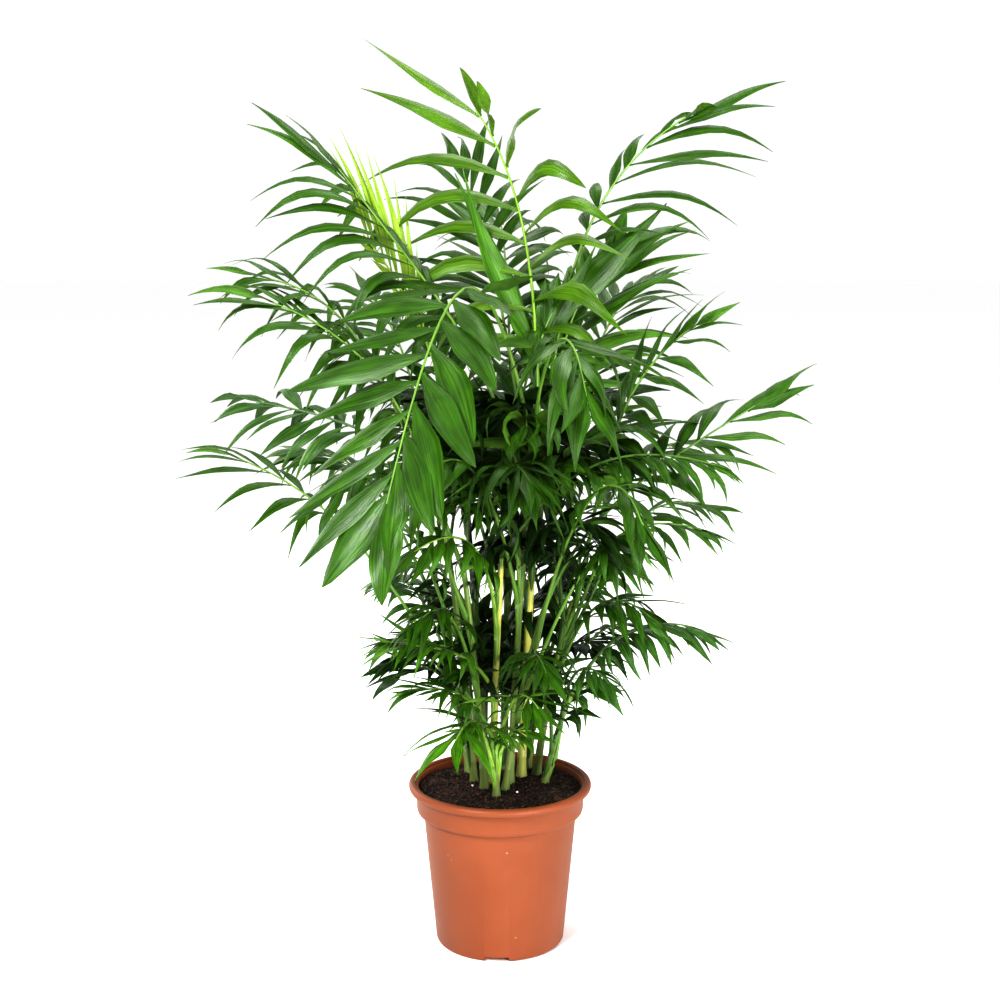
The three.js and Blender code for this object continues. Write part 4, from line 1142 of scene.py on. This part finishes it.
FILLING = (
    FLAG("crest_flag", "tall", 0.95, 180, 0, 150, tone=Tone.BRIGHT, launch=90, nod=82, leaf=235, wide=28,
        hang=0, roll=-90, right=0.3, curl=4),
    FLAG("bold_blades", "tall", 0.95, 0, 14, 180, tone=Tone.FRESH, launch=88, nod=55, leaf=205, wide=36,
        hang=4, roll=90, left=0.3, curl=10),
    Frond("heart_blade", "olive", 0.93, 150, 30, 60, Part.FRONT, Tone.FRESH, launch=80, nod=60, bow=0.4,
        bare=0.5, pairs=3, leaf=130, wide=25, lift=10, hang=60, roll=-80, finer=1, curl=20, last=1,
        sky=0.2),
    HEART("heart_back", "back", 0.9, 268, 70, 150, leaf=125, wide=22),
    HEART("heart_right", "right_out", 0.93, 140, 75, 165, part=Part.RIGHT),
    HEART("heart_deep", "tall", 0.6, 205, 80, 150),
    HEART("heart_deep_right", "tall", 0.68, 335, 95, 150, part=Part.RIGHT, tone=Tone.MID, leaf=120,
        wide=22),
    HEART("heart_deep_left", "left_back", 0.72, 262, 85, 160),
    HEART("heart_wall", "back", 0.78, 195, 90, 190),
    HEART("heart_wall_right", "back", 0.82, 345, 90, 180),
    HEART("heart_cross", "back_right", 0.95, 225, 95, 210),
    HEART("heart_cross_left", "back_left", 0.95, 325, 110, 210),
    HEART("mid_wall", "back", 0.6, 300, 70, 110, leaf=110),
    HEART("mid_wall_left", "left_back", 0.5, 320, 70, 110, leaf=100, wide=18),
    HEART("mid_wall_right", "back_right", 0.7, 250, 90, 120, leaf=105, wide=18),
    FLOOR("floor_back", "back", 0.1, 265, 45, 115, leaf=70, wide=15),
    FLOOR("floor_tall", "tall", 0.14, 100, 40, 110, leaf=66, wide=14),
    FLOOR("floor_left", "left_back", 0.16, 70, 45, 110, leaf=70, wide=15),
    FLOOR("floor_back_left", "back_left", 0.14, 10, 60, 105, leaf=72, wide=15),
    FLOOR("floor_back_right", "back_right", 0.14, 175, 60, 105, leaf=72, wide=15),
    FLOOR("wall_back", "back", 0.38, 200, 70, 90, leaf=84, wide=17),
    FLOOR("wall_back_right", "back", 0.42, 350, 70, 90, leaf=84, wide=17),
    FLOOR("wall_cross", "back_left", 0.48, 5, 95, 70, leaf=80, wide=16),
    FLOOR("wall_cross_right", "back_right", 0.45, 185, 90, 75, leaf=80, wide=16),
    FOOT("foot_fan", "shoot", 0.8, 222, 34, 22, leaf=60, wide=13),
    FOOT("foot_fan_right", "shoot", 0.7, 318, 34, 24, leaf=56, wide=12),
    FALL("fall_front", "tall", 0.88, 262, 70, 80, launch=75, leaf=88, wide=22, turn=8),
    FALL("fall_right", "tall", 0.78, 318, 75, 70, turn=-8),
    FALL("fall_left", "olive", 0.72, 215, 80, 80, turn=8),
    COLLAR("heart_front", "olive", 0.75, 275, 140, 95, Part.FRONT, Tone.MID, launch=70, nod=-40, pairs=9,
        leaf=90, wide=18, hang=55),
    COLLAR("heart_left", "pale", 0.9, 215, 120, 130, Part.FRONT, Tone.MID, pairs=9, leaf=85, wide=16),
    Frond("heart_up", "olive", 0.82, 60, 80, 210, Part.UPPER, Tone.MID, launch=80, nod=50, bow=0.4,
        leaf=100, wide=19, lift=10, hang=25, wild=2),
    Frond("heart_up_left", "left_back", 0.8, 120, 90, 225, Part.UPPER, Tone.MID, launch=80, nod=50,
        bow=0.4, leaf=100, wide=18, lift=10, hang=25, wild=2),
    COLLAR("collar_left", "left", 0.55, 240, 120, 75, Part.LEFT, Tone.FRESH, launch=65, nod=-30, leaf=70,
        wide=14),
    COLLAR("collar_right", "right_out", 0.62, 318, 130, 80, Part.RIGHT, Tone.MID, launch=65, nod=-30,
        leaf=72, wide=14),
    LOW("low_back_left", "back_left", 0.35, 215, 85, 70, launch=70, wide=14),
    LOW("low_back_right", "back_right", 0.35, 330, 80, 70, launch=70, wide=14),
    LOW("low_heart", "back", 0.3, 240, 70, 75),
    LOW("low_heart_right", "back_right", 0.2, 268, 60, 80),
    LOW("low_heart_left", "back_left", 0.22, 290, 60, 80),
    LOW("low_left", "left_out", 0.32, 195, 80, 70, part=Part.LEFT, tone=Tone.FRESH, launch=65, bare=0.35,
        leaf=66, wide=12),
    COLLAR("front_right", "right_out", 0.8, 288, 130, 110, Part.FRONT, Tone.MID, launch=68, nod=-35,
        pairs=9, leaf=80, wide=16, hang=55),
    COLLAR("front_low", "right", 0.42, 285, 110, 85, Part.FRONT, Tone.MID, launch=68, nod=-30, leaf=66,
        wide=14),
    COLLAR("stem_left", "left", 0.28, 160, 55, 90, Part.LEFT, Tone.FRESH, launch=75, nod=-10, pairs=7,
        leaf=62, wide=14),
    COLLAR("stem_right", "right_low", 0.25, 20, 55, 80, Part.RIGHT, Tone.FRESH, launch=75, nod=-10,
        pairs=6, leaf=62, wide=14),
)


@dataclass(frozen=True)
class Attempt:
    """Way to bend a leaflet out of the way of canes and ribs: degrees, and a share."""

    swing: float
    lift: float
    length: float


ATTEMPTS = (
    Attempt(0, 0, 1),
    Attempt(-10, 0, 1),
    Attempt(0, 14, 1),
    Attempt(0, -14, 1),
    Attempt(-18, 10, 0.92),
    Attempt(8, 24, 0.9),
    Attempt(0, -26, 0.85),
    Attempt(-12, 34, 0.75),
    Attempt(14, 0, 0.8),
    Attempt(0, -36, 0.7),
    Attempt(0, 0, 0.5),
)


class Rods:
    """Points along the canes and ribs, each with the room that it takes."""

    def __init__(self) -> None:
        """Starts with nothing in it."""
        self.points = np.empty((0, 3))
        self.radii = np.empty(0)
        self.owners = np.empty(0, "U32")

    def add(self, owner: str, points: np.ndarray, radii: np.ndarray | float) -> None:
        """Adds the points of one cane or rib.

        Args:
            owner: Its name.
            points: The points.
            radii: Its radius at each.
        """
        self.points = np.concatenate([self.points, points])
        self.radii = np.concatenate([self.radii, np.broadcast_to(radii, len(points))])
        self.owners = np.concatenate([self.owners, np.full(len(points), owner)])

    def gap(self, dots: np.ndarray, own: str) -> float:
        """Least distance from points to the surface of a rod.

        Args:
            dots: The points.
            own: Owner whose rod doesn't matter.

        Returns:
            The distance, below 0 inside a rod.
        """
        others = self.owners != own
        gaps = np.linalg.norm(self.points[others][None] - dots[:, None], axis=2) - self.radii[others]
        return float(gaps.min())


class Rib:
    """Rib of one frond: its curve, and the frond's axes along it."""

    WIDTH = 5
    HEIGHT = 4.4
    ROOM = 2.5
    ROOM_STEPS = 70
    TURNS = (0, 7, -7, 14, -14, 21, -21, 28, -28, 38, -38, 50, -50)
    BASE_RADIUS = 2.6
    TIP_RADIUS = 0.8
    TAPER = 0.85
    SWELL = 0.8
    SWELL_FADE = 14
    BARE_RINGS = 9
    LEAFY_RINGS = 16
    SIDES = 8
    GRAIN_STEP = 3.7
    SHEATH_DROP = np.array([[46], [26], [9]])
    SHEATH_INWARD = np.array([[0.7], [0.5], [0.2]])
    SHEATH_RADII = np.array([1.4, 2.7, 3.1])
    TOP_SHARES = np.array([0.9, 0.97, 1.0])
    TOP_SWELL = np.array([0.9, 1.1, 1.04])

    def __init__(self, frond: Frond, seed: int, rods: Rods) -> None:
        """Finds a curve that is clear of the rods, and adds it to them.

        Args:
            frond: The frond.
            seed: Its number, which its unevenness comes from.
            rods: The canes and the ribs before it.
        """
        self.frond = frond
        self.seed = seed
        self.line = self._clear_line(rods)
        rods.add(frond.name, self._dots(self.line), self.HEIGHT / 2)

    def _dots(self, line: Bezier) -> np.ndarray:
        """Equally spaced points along a curve."""
        return line.point(line.step_at(np.linspace(0, 1, self.ROOM_STEPS + 1)))

    def _line(self, turn: float) -> Bezier:
        """Curve from the cane to the rib's tip, with its base turned aside by some degrees."""
        frond, cane = self.frond, CANES[self.frond.cane]
        core = cane.line()
        start = core.point(frond.at)[0]
        outset = pointing(frond.heading + turn, frond.launch)
        if frond.at == 1:
            along = core.tangent(1.0)[0]
            skew = math.sin(math.acos(min(1.0, float(along @ outset)))) * self.WIDTH / 2
            start = start + along * (2 * Cane.GAP + skew)
        else:
            away = cane.radius_at(frond.at) + self.HEIGHT / 2 + Cane.GAP
            start = start + pointing(frond.heading + turn, 0) * away
        end = start + pointing(frond.heading, 0) * frond.reach + np.array([0, 0, frond.rise])
        handle = float(np.linalg.norm(end - start)) * frond.bow
        arrive = end - pointing(frond.heading - turn / 2, frond.nod) * handle
        return Bezier(start, start + outset * handle, arrive, end)

    def _clear_line(self, rods: Rods) -> Bezier:
        """First curve that is clear of the other canes and the ribs before it, or the clearest."""
        tried = []
        for turn in self.TURNS:
            line = self._line(self.frond.turn + turn)
            gap = rods.gap(self._dots(line), self.frond.cane)
            if gap > self.HEIGHT / 2 + self.ROOM:
                return line
            tried.append((gap, -len(tried), line))
        return max(tried)[2]

    def axes(self, shares: np.ndarray) -> tuple[np.ndarray, np.ndarray, np.ndarray, np.ndarray]:
        """Frame of the frond at shares of its rib's length.

        Args:
            shares: The shares.

        Returns:
            The middle, the way along, the way across and the way up at each.
        """
        step = self.line.step_at(shares)
        middle, along = self.line.point(step), self.line.tangent(step)
        up = unit(np.cross(pointing(self.frond.heading - 90, 0), along))
        tilt = np.radians(self.frond.roll) * smoothstep(shares, 0, self.frond.bare)[:, None]
        up = up * np.cos(tilt) + np.cross(along, up) * np.sin(tilt)
        return middle, along, np.cross(along, up), up

    def _sheath(self) -> tuple[np.ndarray, np.ndarray]:
        """Points and radii of the swollen base that clasps the cane."""
        frond, cane = self.frond, CANES[self.frond.cane]
        core = cane.line()
        if frond.at == 1:
            return core.point(self.TOP_SHARES), cane.radius_at(1) * self.TOP_SWELL
        start = self.line.point(0.0)[0]
        lean = core.tangent(frond.at)[0]
        drop = -self.SHEATH_DROP * lean / lean[2]
        inward = core.point(frond.at)[0] - start
        return start + drop + inward * self.SHEATH_INWARD, self.SHEATH_RADII

    def mesh(self, stock: Foliage, kind: int) -> None:
        """Adds the rib as a tapered rod with a clasping base.

        Args:
            stock: Foliage that it goes into.
            kind: Number of its material there.
        """
        frond = self.frond
        bare = np.linspace(0, frond.bare, self.BARE_RINGS)
        shares = np.concatenate([bare, np.linspace(frond.bare, 1, self.LEAFY_RINGS)[1:]])
        middle, _, across, up = self.axes(shares)
        radii = blend(self.BASE_RADIUS, self.TIP_RADIUS, shares ** self.TAPER)
        radii += self.SWELL * np.exp(-shares * self.SWELL_FADE)
        sheath, sheath_radii = self._sheath()
        middle = np.concatenate([sheath, middle])
        radii = np.concatenate([sheath_radii, radii])
        lead = len(sheath)
        across = np.concatenate([np.repeat(across[:1], lead, axis=0), across])
        up = np.concatenate([np.repeat(up[:1], lead, axis=0), up])
        if frond.at == 1:
            across[:lead] = [1, 0, 0]
            up[:lead] = [0, 1, 0]
            across[lead:lead + 1] = across[lead + 1:lead + 2]
        else:
            outward = sheath[0] - CANES[frond.cane].line().point(frond.at)[0]
            across[:lead] = unit(np.cross([0, 0, 1], outward))
            up[:lead] = np.cross(across[:lead], [0, 0, -1])
        angle = np.arange(self.SIDES) * 2 * math.pi / self.SIDES
        spokes = across[:, None] * np.cos(angle)[None, :, None] + up[:, None] * np.sin(angle)[None, :, None]
        points = middle[:, None] + spokes * radii[:, None, None]
        rings = len(middle)
        faces = []
        for low in range(rings - 1):
            for spoke in range(self.SIDES):
                after = (spoke + 1) % self.SIDES
                base, top = low * self.SIDES, (low + 1) * self.SIDES
                faces.append((base + spoke, base + after, top + after, top + spoke))
        faces.append(tuple(range(self.SIDES - 1, -1, -1)))
        faces.append(tuple(range((rings - 1) * self.SIDES, rings * self.SIDES)))
        grain = np.zeros((rings, self.SIDES, 3))
        grain[..., 0] = np.cos(angle)
        grain[..., 1] = np.linspace(0, 1, rings)[:, None]
        grain[..., 2] = self.seed * self.GRAIN_STEP
        stock.add(points.reshape(-1, 3), faces, kind, grain.reshape(-1, 3))


@dataclass(frozen=True)
class Leaflet:
    """Root, ways and size of one leaflet, in millimetres and radians."""

    root: np.ndarray
    along: np.ndarray
    near: np.ndarray
    far: np.ndarray
    side: int
    length: float
    width: float
    curl: float
    twist: float
    sickle: float
    number: float
    blunt: float
    sky: float

    STEPS = 24
    BEND = (0.1, 0.74)
    CURLED = (0.42, 1.0)
    STRAIGHT = 0.35

    def course(self) -> tuple[np.ndarray, np.ndarray, np.ndarray]:
        """Middle line of the blade.

        Returns:
            Shares of the length, the points there and the ways along the blade there.
        """
        shares = np.linspace(0, 1, self.STEPS + 1)
        bent = smoothstep(shares, *self.BEND)[:, None]
        ways = unit(self.near * (1 - bent) + self.far * bent)
        breadth, face = self.frame(ways)
        curl = self.curl * smoothstep(shares, *self.CURLED)[:, None]
        ways = ways * np.cos(curl) - face * np.sin(curl)
        ways = unit(ways + breadth * self.sickle * (shares[:, None] - self.STRAIGHT))
        steps = (ways[1:] + ways[:-1]) / 2 * self.length / self.STEPS
        points = self.root + np.concatenate([np.zeros((1, 3)), np.cumsum(steps, axis=0)])
        return shares, points, ways

    def frame(self, ways: np.ndarray) -> tuple[np.ndarray, np.ndarray]:
        """Ways across the blade and out of its upper side, which turns to the sky."""
        breadth = unit(self.along - ways * (ways @ self.along)[:, None])
        skyward = np.array([0, 0, 1]) - ways * ways[:, 2:]
        face = unit(np.cross(ways, breadth) * self.side + self.sky * skyward)
        return np.cross(face, ways) * self.side, face


class Blade:
    """Mesh of a leaflet: folded at its midrib, narrow at its root and drawn out to its tip."""

    SHARES = np.array([0, 0.05, 0.13, 0.24, 0.36, 0.48, 0.6, 0.72, 0.83, 0.92, 1.0])
    ACROSS = np.array([-1, -0.5, 0, 0.5, 1, 0.5, 0, -0.5])
    FULLEST = 0.4
    RISE = 0.8
    FALL = (1.15, 0.6)
    ROOT_WIDTH = 0.24
    ROOT_END = 0.2
    TIP_WIDTH = 0.03
    FOLD = 0.32
    FOLD_CURVE = 1.3
    THICKNESS = 0.6
    THINNING = 0.7
    RIPPLE = 0.05
    RIPPLES = 11
    TOP_STRIPS = 4

    @classmethod
    def half_widths(cls, shares: np.ndarray, blunt: float) -> np.ndarray:
        """Half of the blade's width along it, as a share of half its full width."""
        rise = np.minimum(1, shares / cls.FULLEST) ** cls.RISE
        fall = np.minimum(1, (1 - shares) / (1 - cls.FULLEST)) ** blend(*cls.FALL, blunt)
        root = cls.ROOT_WIDTH * (1 - smoothstep(shares, 0, cls.ROOT_END))
        return np.maximum(np.maximum(rise * fall, root), cls.TIP_WIDTH)

    @classmethod
    def faces(cls, side: int) -> tuple[list[tuple[int, ...]], list[bool]]:
        """Faces of a leaflet on one side of a rib.

        Args:
            side: -1 on the left of the rib, 1 on its right.

        Returns:
            The faces, and whether each is on the underside.
        """
        count = len(cls.ACROSS)
        last = (len(cls.SHARES) - 1) * count
        made = []
        under = []
        for base in range(0, last, count):
            for strip in range(count):
                after = (strip + 1) % count
                face = (base + strip, base + after, base + count + after, base + count + strip)
                under.append(strip >= cls.TOP_STRIPS)
                # a warped face is split from its first corner, so both sides start at like corners
                made.append(face[1:] + face[:1] if under[-1] else face)
        made += [tuple(range(count - 1, -1, -1)), tuple(range(last, last + count))]
        under += [False, False]
        return (made if side < 0 else [face[::-1] for face in made]), under

    @classmethod
    def points(cls, leaflet: Leaflet) -> tuple[np.ndarray, np.ndarray]:
        """Corners of a leaflet.

        Args:
            leaflet: The leaflet.

        Returns:
            The corners, and across, along and number of each for the pattern of veins.
        """
        shares, course, ways = leaflet.course()
        middle, along = (
            np.stack([np.interp(cls.SHARES, shares, values) for values in each.T], axis=1)
            for each in (course, ways)
        )
        breadth, face = leaflet.frame(unit(along))
        twist = (leaflet.twist * cls.SHARES)[:, None]
        breadth, face = (breadth * np.cos(twist) + face * np.sin(twist),
                         face * np.cos(twist) - breadth * np.sin(twist))
        half = leaflet.width / 2 * cls.half_widths(cls.SHARES, leaflet.blunt)
        beat = np.sin(cls.SHARES * cls.RIPPLES + leaflet.number)[:, None]
        edge = np.abs(cls.ACROSS)
        drop = -cls.FOLD * edge ** cls.FOLD_CURVE + cls.RIPPLE * beat * np.sign(cls.ACROSS) * edge
        drop = half[:, None] * drop
        drop[:, cls.TOP_STRIPS + 1:] -= cls.THICKNESS * (1 - cls.THINNING * cls.SHARES)[:, None]
        points = (middle[:, None] + breadth[:, None] * (half[:, None] * cls.ACROSS)[:, :, None]
                  + face[:, None] * drop[:, :, None])
        grain = np.empty(points.shape)
        grain[..., 0] = cls.ACROSS
        grain[..., 1] = cls.SHARES[:, None]
        grain[..., 2] = leaflet.number
        return points.reshape(-1, 3), grain.reshape(-1, 3)


class Uneven(Enum):
    """What differs from leaflet to leaflet: its number, and the most that it differs by."""

    FAN = (1, 8)
    LIFT = (2, 10)
    LENGTH = (3, 0.1)
    DROOP = (4, 14)
    WIDTH = (5, 0.08)
    CURL = (6, 0.6)
    TWIST = (7, 24)
    SICKLE = (8, 0.25)
    GRAIN = (9, 40)


class LeafletRule:
    """How leaflets grow along a rib."""

    ROOT = 6.5
    FAN = (54, 14)
    CLOSING = 2
    CLOSED_FAN = (18, 20)
    FULLEST = 0.35
    SHORTER = (0.35, 0.2)
    DROOP = (1.2, 0.35)
    STAGGER = 0.3
    OUTSET = 0.6
    SICKLE = 0.1
    CHOICE_STEP = 50
    OVER_SOIL = 189
    OVER_LIP = 193
    INSIDE_MOUTH = 80
    ROOM = 0.8
    FIRST_PROBED = 2
    PROBED = (0, 2, 4)

    def __init__(self, rods: Rods) -> None:
        """Keeps the canes and ribs that leaflets stay clear of."""
        self.rods = rods

    def taper(self, place: float) -> float:
        """Share of the longest leaflet's length at a place from 0 to 1 along the leafy rib."""
        below = place < self.FULLEST
        away = (self.FULLEST - place) / self.FULLEST if below else (place - self.FULLEST) / (1 - self.FULLEST)
        return 1 - self.SHORTER[0 if below else 1] * away ** 2

    def shape(self, rib: Rib, share: float, place: float, side: int, attempt: Attempt) -> Leaflet:
        """Leaflet at one place of a rib.

        Args:
            rib: The rib.
            share: Where it sits, as a share of the rib's length.
            place: Where it sits, from 0 to 1 along the leafy part.
            side: -1 on the left of the rib, 1 on its right.
            attempt: How it is bent out of the way.

        Returns:
            The leaflet.
        """
        def uneven(choice: Uneven) -> float:
            """Repeatable difference of this leaflet."""
            number, most = choice.value
            step = place * 2 + (side > 0) + number * self.CHOICE_STEP
            return spread(rib.seed, step) * rib.frond.wild * most

        frond = rib.frond
        open_fan = blend(*self.FAN, place ** self.CLOSING) * frond.fan + uneven(Uneven.FAN)
        swept = blend(*self.CLOSED_FAN, place) if frond.closed else open_fan - side * frond.sweep
        fan = math.radians(swept + attempt.swing)
        lift = math.radians(frond.lift + uneven(Uneven.LIFT) + attempt.lift)
        taper = self.taper(place)
        own = taper * (1 + uneven(Uneven.LENGTH)) * attempt.length
        slack = 1 - frond.stiff * (place == 1)
        sag = (frond.hang * blend(*self.DROOP, place) + uneven(Uneven.DROOP)) * slack
        droop = math.radians(max(0.0, sag))
        middle, along, across, up = (axis[0] for axis in rib.axes(np.array([share])))
        outward = across * side * math.cos(lift) + up * math.sin(lift)
        near = along * math.cos(fan) + outward * math.sin(fan)
        far = unit(near * math.cos(droop) - np.array([0, 0, math.sin(droop)]))
        last = frond.last if place == 1 else 1
        short = 1 - (frond.left if side < 0 else frond.right * blend(1, frond.tail, place))
        stunted = 0.0 if frond.closed else max(0.0, short)
        return Leaflet(
            root=middle + outward * self.OUTSET,
            along=along,
            near=near,
            far=far,
            side=side,
            length=frond.leaf * (1 - short) * own,
            width=frond.wide * math.sqrt(taper) * last * (1 + uneven(Uneven.WIDTH)),
            curl=math.radians(frond.curl * (1 + uneven(Uneven.CURL)) * (1 + stunted) * slack),
            twist=math.radians(uneven(Uneven.TWIST)),
            sickle=uneven(Uneven.SICKLE) + self.SICKLE,
            number=abs(uneven(Uneven.GRAIN)),
            blunt=min(1.0, frond.blunt + 2 * stunted),
            sky=frond.sky,
        )

    def clear(self, leaflet: Leaflet, rib: Rib) -> tuple[bool, bool]:
        """Whether a leaflet is clear of the pot and soil, and whether it is clear of the rods."""
        points, _ = Blade.points(leaflet)
        lowest = points[:, 2].min()
        inside = math.hypot(*points[-1, :2]) < self.INSIDE_MOUTH
        potted = lowest > self.OVER_SOIL and (inside or lowest > self.OVER_LIP)
        rings = points.reshape(-1, len(Blade.ACROSS), 3)
        dots = rings[self.FIRST_PROBED:, self.PROBED].reshape(-1, 3)
        return potted, self.rods.gap(dots, rib.frond.name) > self.ROOM

    def grow(self, rib: Rib) -> list[Leaflet]:
        """Every leaflet of a rib that finds room."""
        frond = rib.frond
        count = round(frond.pairs * frond.finer)
        root = self.ROOT / rib.line.length
        pitch = (1 - frond.bare - 2 * root) / (count - 1)
        grown = []
        for pair in range(count):
            place = pair / (count - 1)
            for side in (-1, 1):
                stagger = self.STAGGER * pitch * (side > 0) * (pair < count - 1)
                share = frond.bare + root / 2 + pitch * pair + stagger
                for attempt in ATTEMPTS:
                    leaflet = self.shape(rib, share, place, side, attempt)
                    if all(self.clear(leaflet, rib)):
                        grown.append(leaflet)
                        break
        return grown


class Palette:
    """Foliage materials, each made once."""

    TOP_ROUGHNESS = 0.2
    UNDERSIDE_ROUGHNESS = 0.5

    def __init__(self) -> None:
        """Starts with no material made."""
        self.made: dict[str, bpy.types.Material] = {}

    def _once(self, finish: BladeFinish | RibFinish) -> bpy.types.Material:
        """Material of a finish, made the first time it is asked for."""
        if finish.name not in self.made:
            self.made[finish.name] = finish.make()
        return self.made[finish.name]

    def blades(self, tones: Sequence[Tone]) -> list[bpy.types.Material]:
        """Blade and underside of each tone in turn."""
        found = []
        for tone in tones:
            colours = TONES[tone]
            name, back = f"leaflet_{tone.value}", f"leaflet_back_{tone.value}"
            found.append(self._once(BladeFinish(name, colours.blade, colours.vein, self.TOP_ROUGHNESS)))
            found.append(self._once(BladeFinish(back, colours.back, colours.vein, self.UNDERSIDE_ROUGHNESS)))
        return found

    def ribs(self, tones: Sequence[Tone]) -> list[bpy.types.Material]:
        """Rib of each tone in turn."""
        finishes = (RibFinish(f"rib_{tone.value}", TONES[tone].rib, TONES[tone].back) for tone in tones)
        return [self._once(finish) for finish in finishes]


class Crown:
    """The fronds, grown together so that their leaflets keep clear of canes and ribs."""

    def __init__(self) -> None:
        """Places the canes' rods and then every rib."""
        self.rods = Rods()
        shares = np.linspace(0, 1, Rib.ROOM_STEPS + 1)
        for name, cane in CANES.items():
            radii = np.array([cane.radius_at(share) for share in shares])
            self.rods.add(name, cane.line().point(shares), radii)
        self.ribs = [Rib(frond, number + 1, self.rods) for number, frond in enumerate(FRONDS + FILLING)]

    def build(self) -> None:
        """Models the leaflets and the ribs of each part of the crown."""
        rule = LeafletRule(self.rods)
        palette = Palette()
        sides = {side: Blade.faces(side) for side in (-1, 1)}
        for part in Part:
            members = [rib for rib in self.ribs if rib.frond.part is part]
            tones = sorted({rib.frond.tone for rib in members}, key=lambda tone: tone.value)
            leaves, ribs = Foliage(), Foliage()
            grown = 0
            for rib in members:
                kind = tones.index(rib.frond.tone)
                rib.mesh(ribs, kind)
                for leaflet in rule.grow(rib):
                    faces, under = sides[leaflet.side]
                    points, grain = Blade.points(leaflet)
                    leaves.add(points, faces, [2 * kind + below for below in under], grain)
                    grown += 1
            slot = "young_leaf" if part is Part.SPEAR else "leaf"
            nodes = [f"frond_{rib.frond.name}" for rib in members if rib.frond in FRONDS]
            LOG.info("%s: %d leaflets on %d fronds", part.value, grown, len(members))
            Bench.hand_over(leaves.piece(f"leaves_{part.value}", palette.blades(tones)), slot, nodes)
            Bench.hand_over(ribs.piece(f"ribs_{part.value}", palette.ribs(tones)), slot, nodes)


# ---------------------------------------------------------------- studio


@dataclass(frozen=True)
class SoftLight:
    """Large square lamp: place, point that it faces, size in metres and power in watts."""

    name: str
    place: tuple[float, float, float]
    target: tuple[float, float, float]
    size: float
    power: float

    def build(self) -> None:
        """Hangs the lamp."""
        lamp = bpy.data.lights.new(self.name, "AREA")
        lamp.shape = "SQUARE"
        lamp.size = self.size
        lamp.energy = self.power
        holder = bpy.data.objects.new(self.name, lamp)
        holder.location = self.place
        holder.rotation_euler = (Vector(self.target) - Vector(self.place)).to_track_quat("-Z", "Y").to_euler()
        bpy.context.scene.collection.objects.link(holder)


@dataclass
class Studio:
    """White studio with soft light, and the camera in front of it."""

    camera_place: tuple[float, float, float] = (0.0, -1.8, 0.817)
    camera_pitch: float = 9.5
    lens: float = 58.7
    sensor: float = 36.0
    world: float = 1.03
    contrast: float = 0.7
    floor_radius: float = 25.0
    floor_sides: int = 96
    floor_height: float = -0.0005
    lamps: tuple[SoftLight, ...] = (
        SoftLight("key_lamp", (-1.5, -2.2, 2.3), (0.0, 0.0, 0.5), 0.9, 148),
        SoftLight("fill_lamp", (1.4, -2.1, 0.5), (0.0, 0.0, 0.3), 0.9, 84),
        SoftLight("top_lamp", (0.3, 0.9, 2.6), (0.0, 0.0, 0.6), 1.2, 28),
        SoftLight("back_lamp", (-2.0, 2.0, 1.1), (0.0, 0.0, 0.5), 1.6, 34),
    )

    def build(self) -> None:
        """Builds the floor, the lights, the world and the camera."""
        scene = bpy.context.scene
        scene.view_settings.view_transform = "Standard"
        scene.view_settings.gamma = self.contrast
        self._floor()
        for lamp in self.lamps:
            lamp.build()
        world = bpy.data.worlds.new("studio_world")
        world.use_nodes = True
        background = world.node_tree.nodes["Background"].inputs
        background["Color"].default_value = (1.0, 1.0, 1.0, 1.0)
        background["Strength"].default_value = self.world
        scene.world = world
        lens = bpy.data.cameras.new("studio_camera")
        lens.lens = self.lens
        lens.sensor_width = self.sensor
        camera = bpy.data.objects.new("studio_camera", lens)
        camera.location = self.camera_place
        camera.rotation_euler = (math.radians(90 - self.camera_pitch), 0, 0)
        scene.collection.objects.link(camera)
        scene.camera = camera

    def _floor(self) -> None:
        """Lays a wide pale floor under the pot."""
        Bench.clear()
        bpy.ops.mesh.primitive_circle_add(
            vertices=self.floor_sides, radius=self.floor_radius, fill_type="NGON",
            location=(0, 0, self.floor_height))
        floor = bpy.context.object
        floor.name = "studio_floor"
        floor.data.materials.append(FloorFinish().make())


def main() -> None:
    """Builds the plant piece by piece, and the studio round it."""
    logging.basicConfig(level=logging.INFO, format="%(name)s: %(message)s")
    Studio().build()
    pot = NurseryPot()
    pot.build()
    PottingSoil(pot).build()
    CaneClump().build()
    Crown().build()


if __name__ == "__main__":
    main()
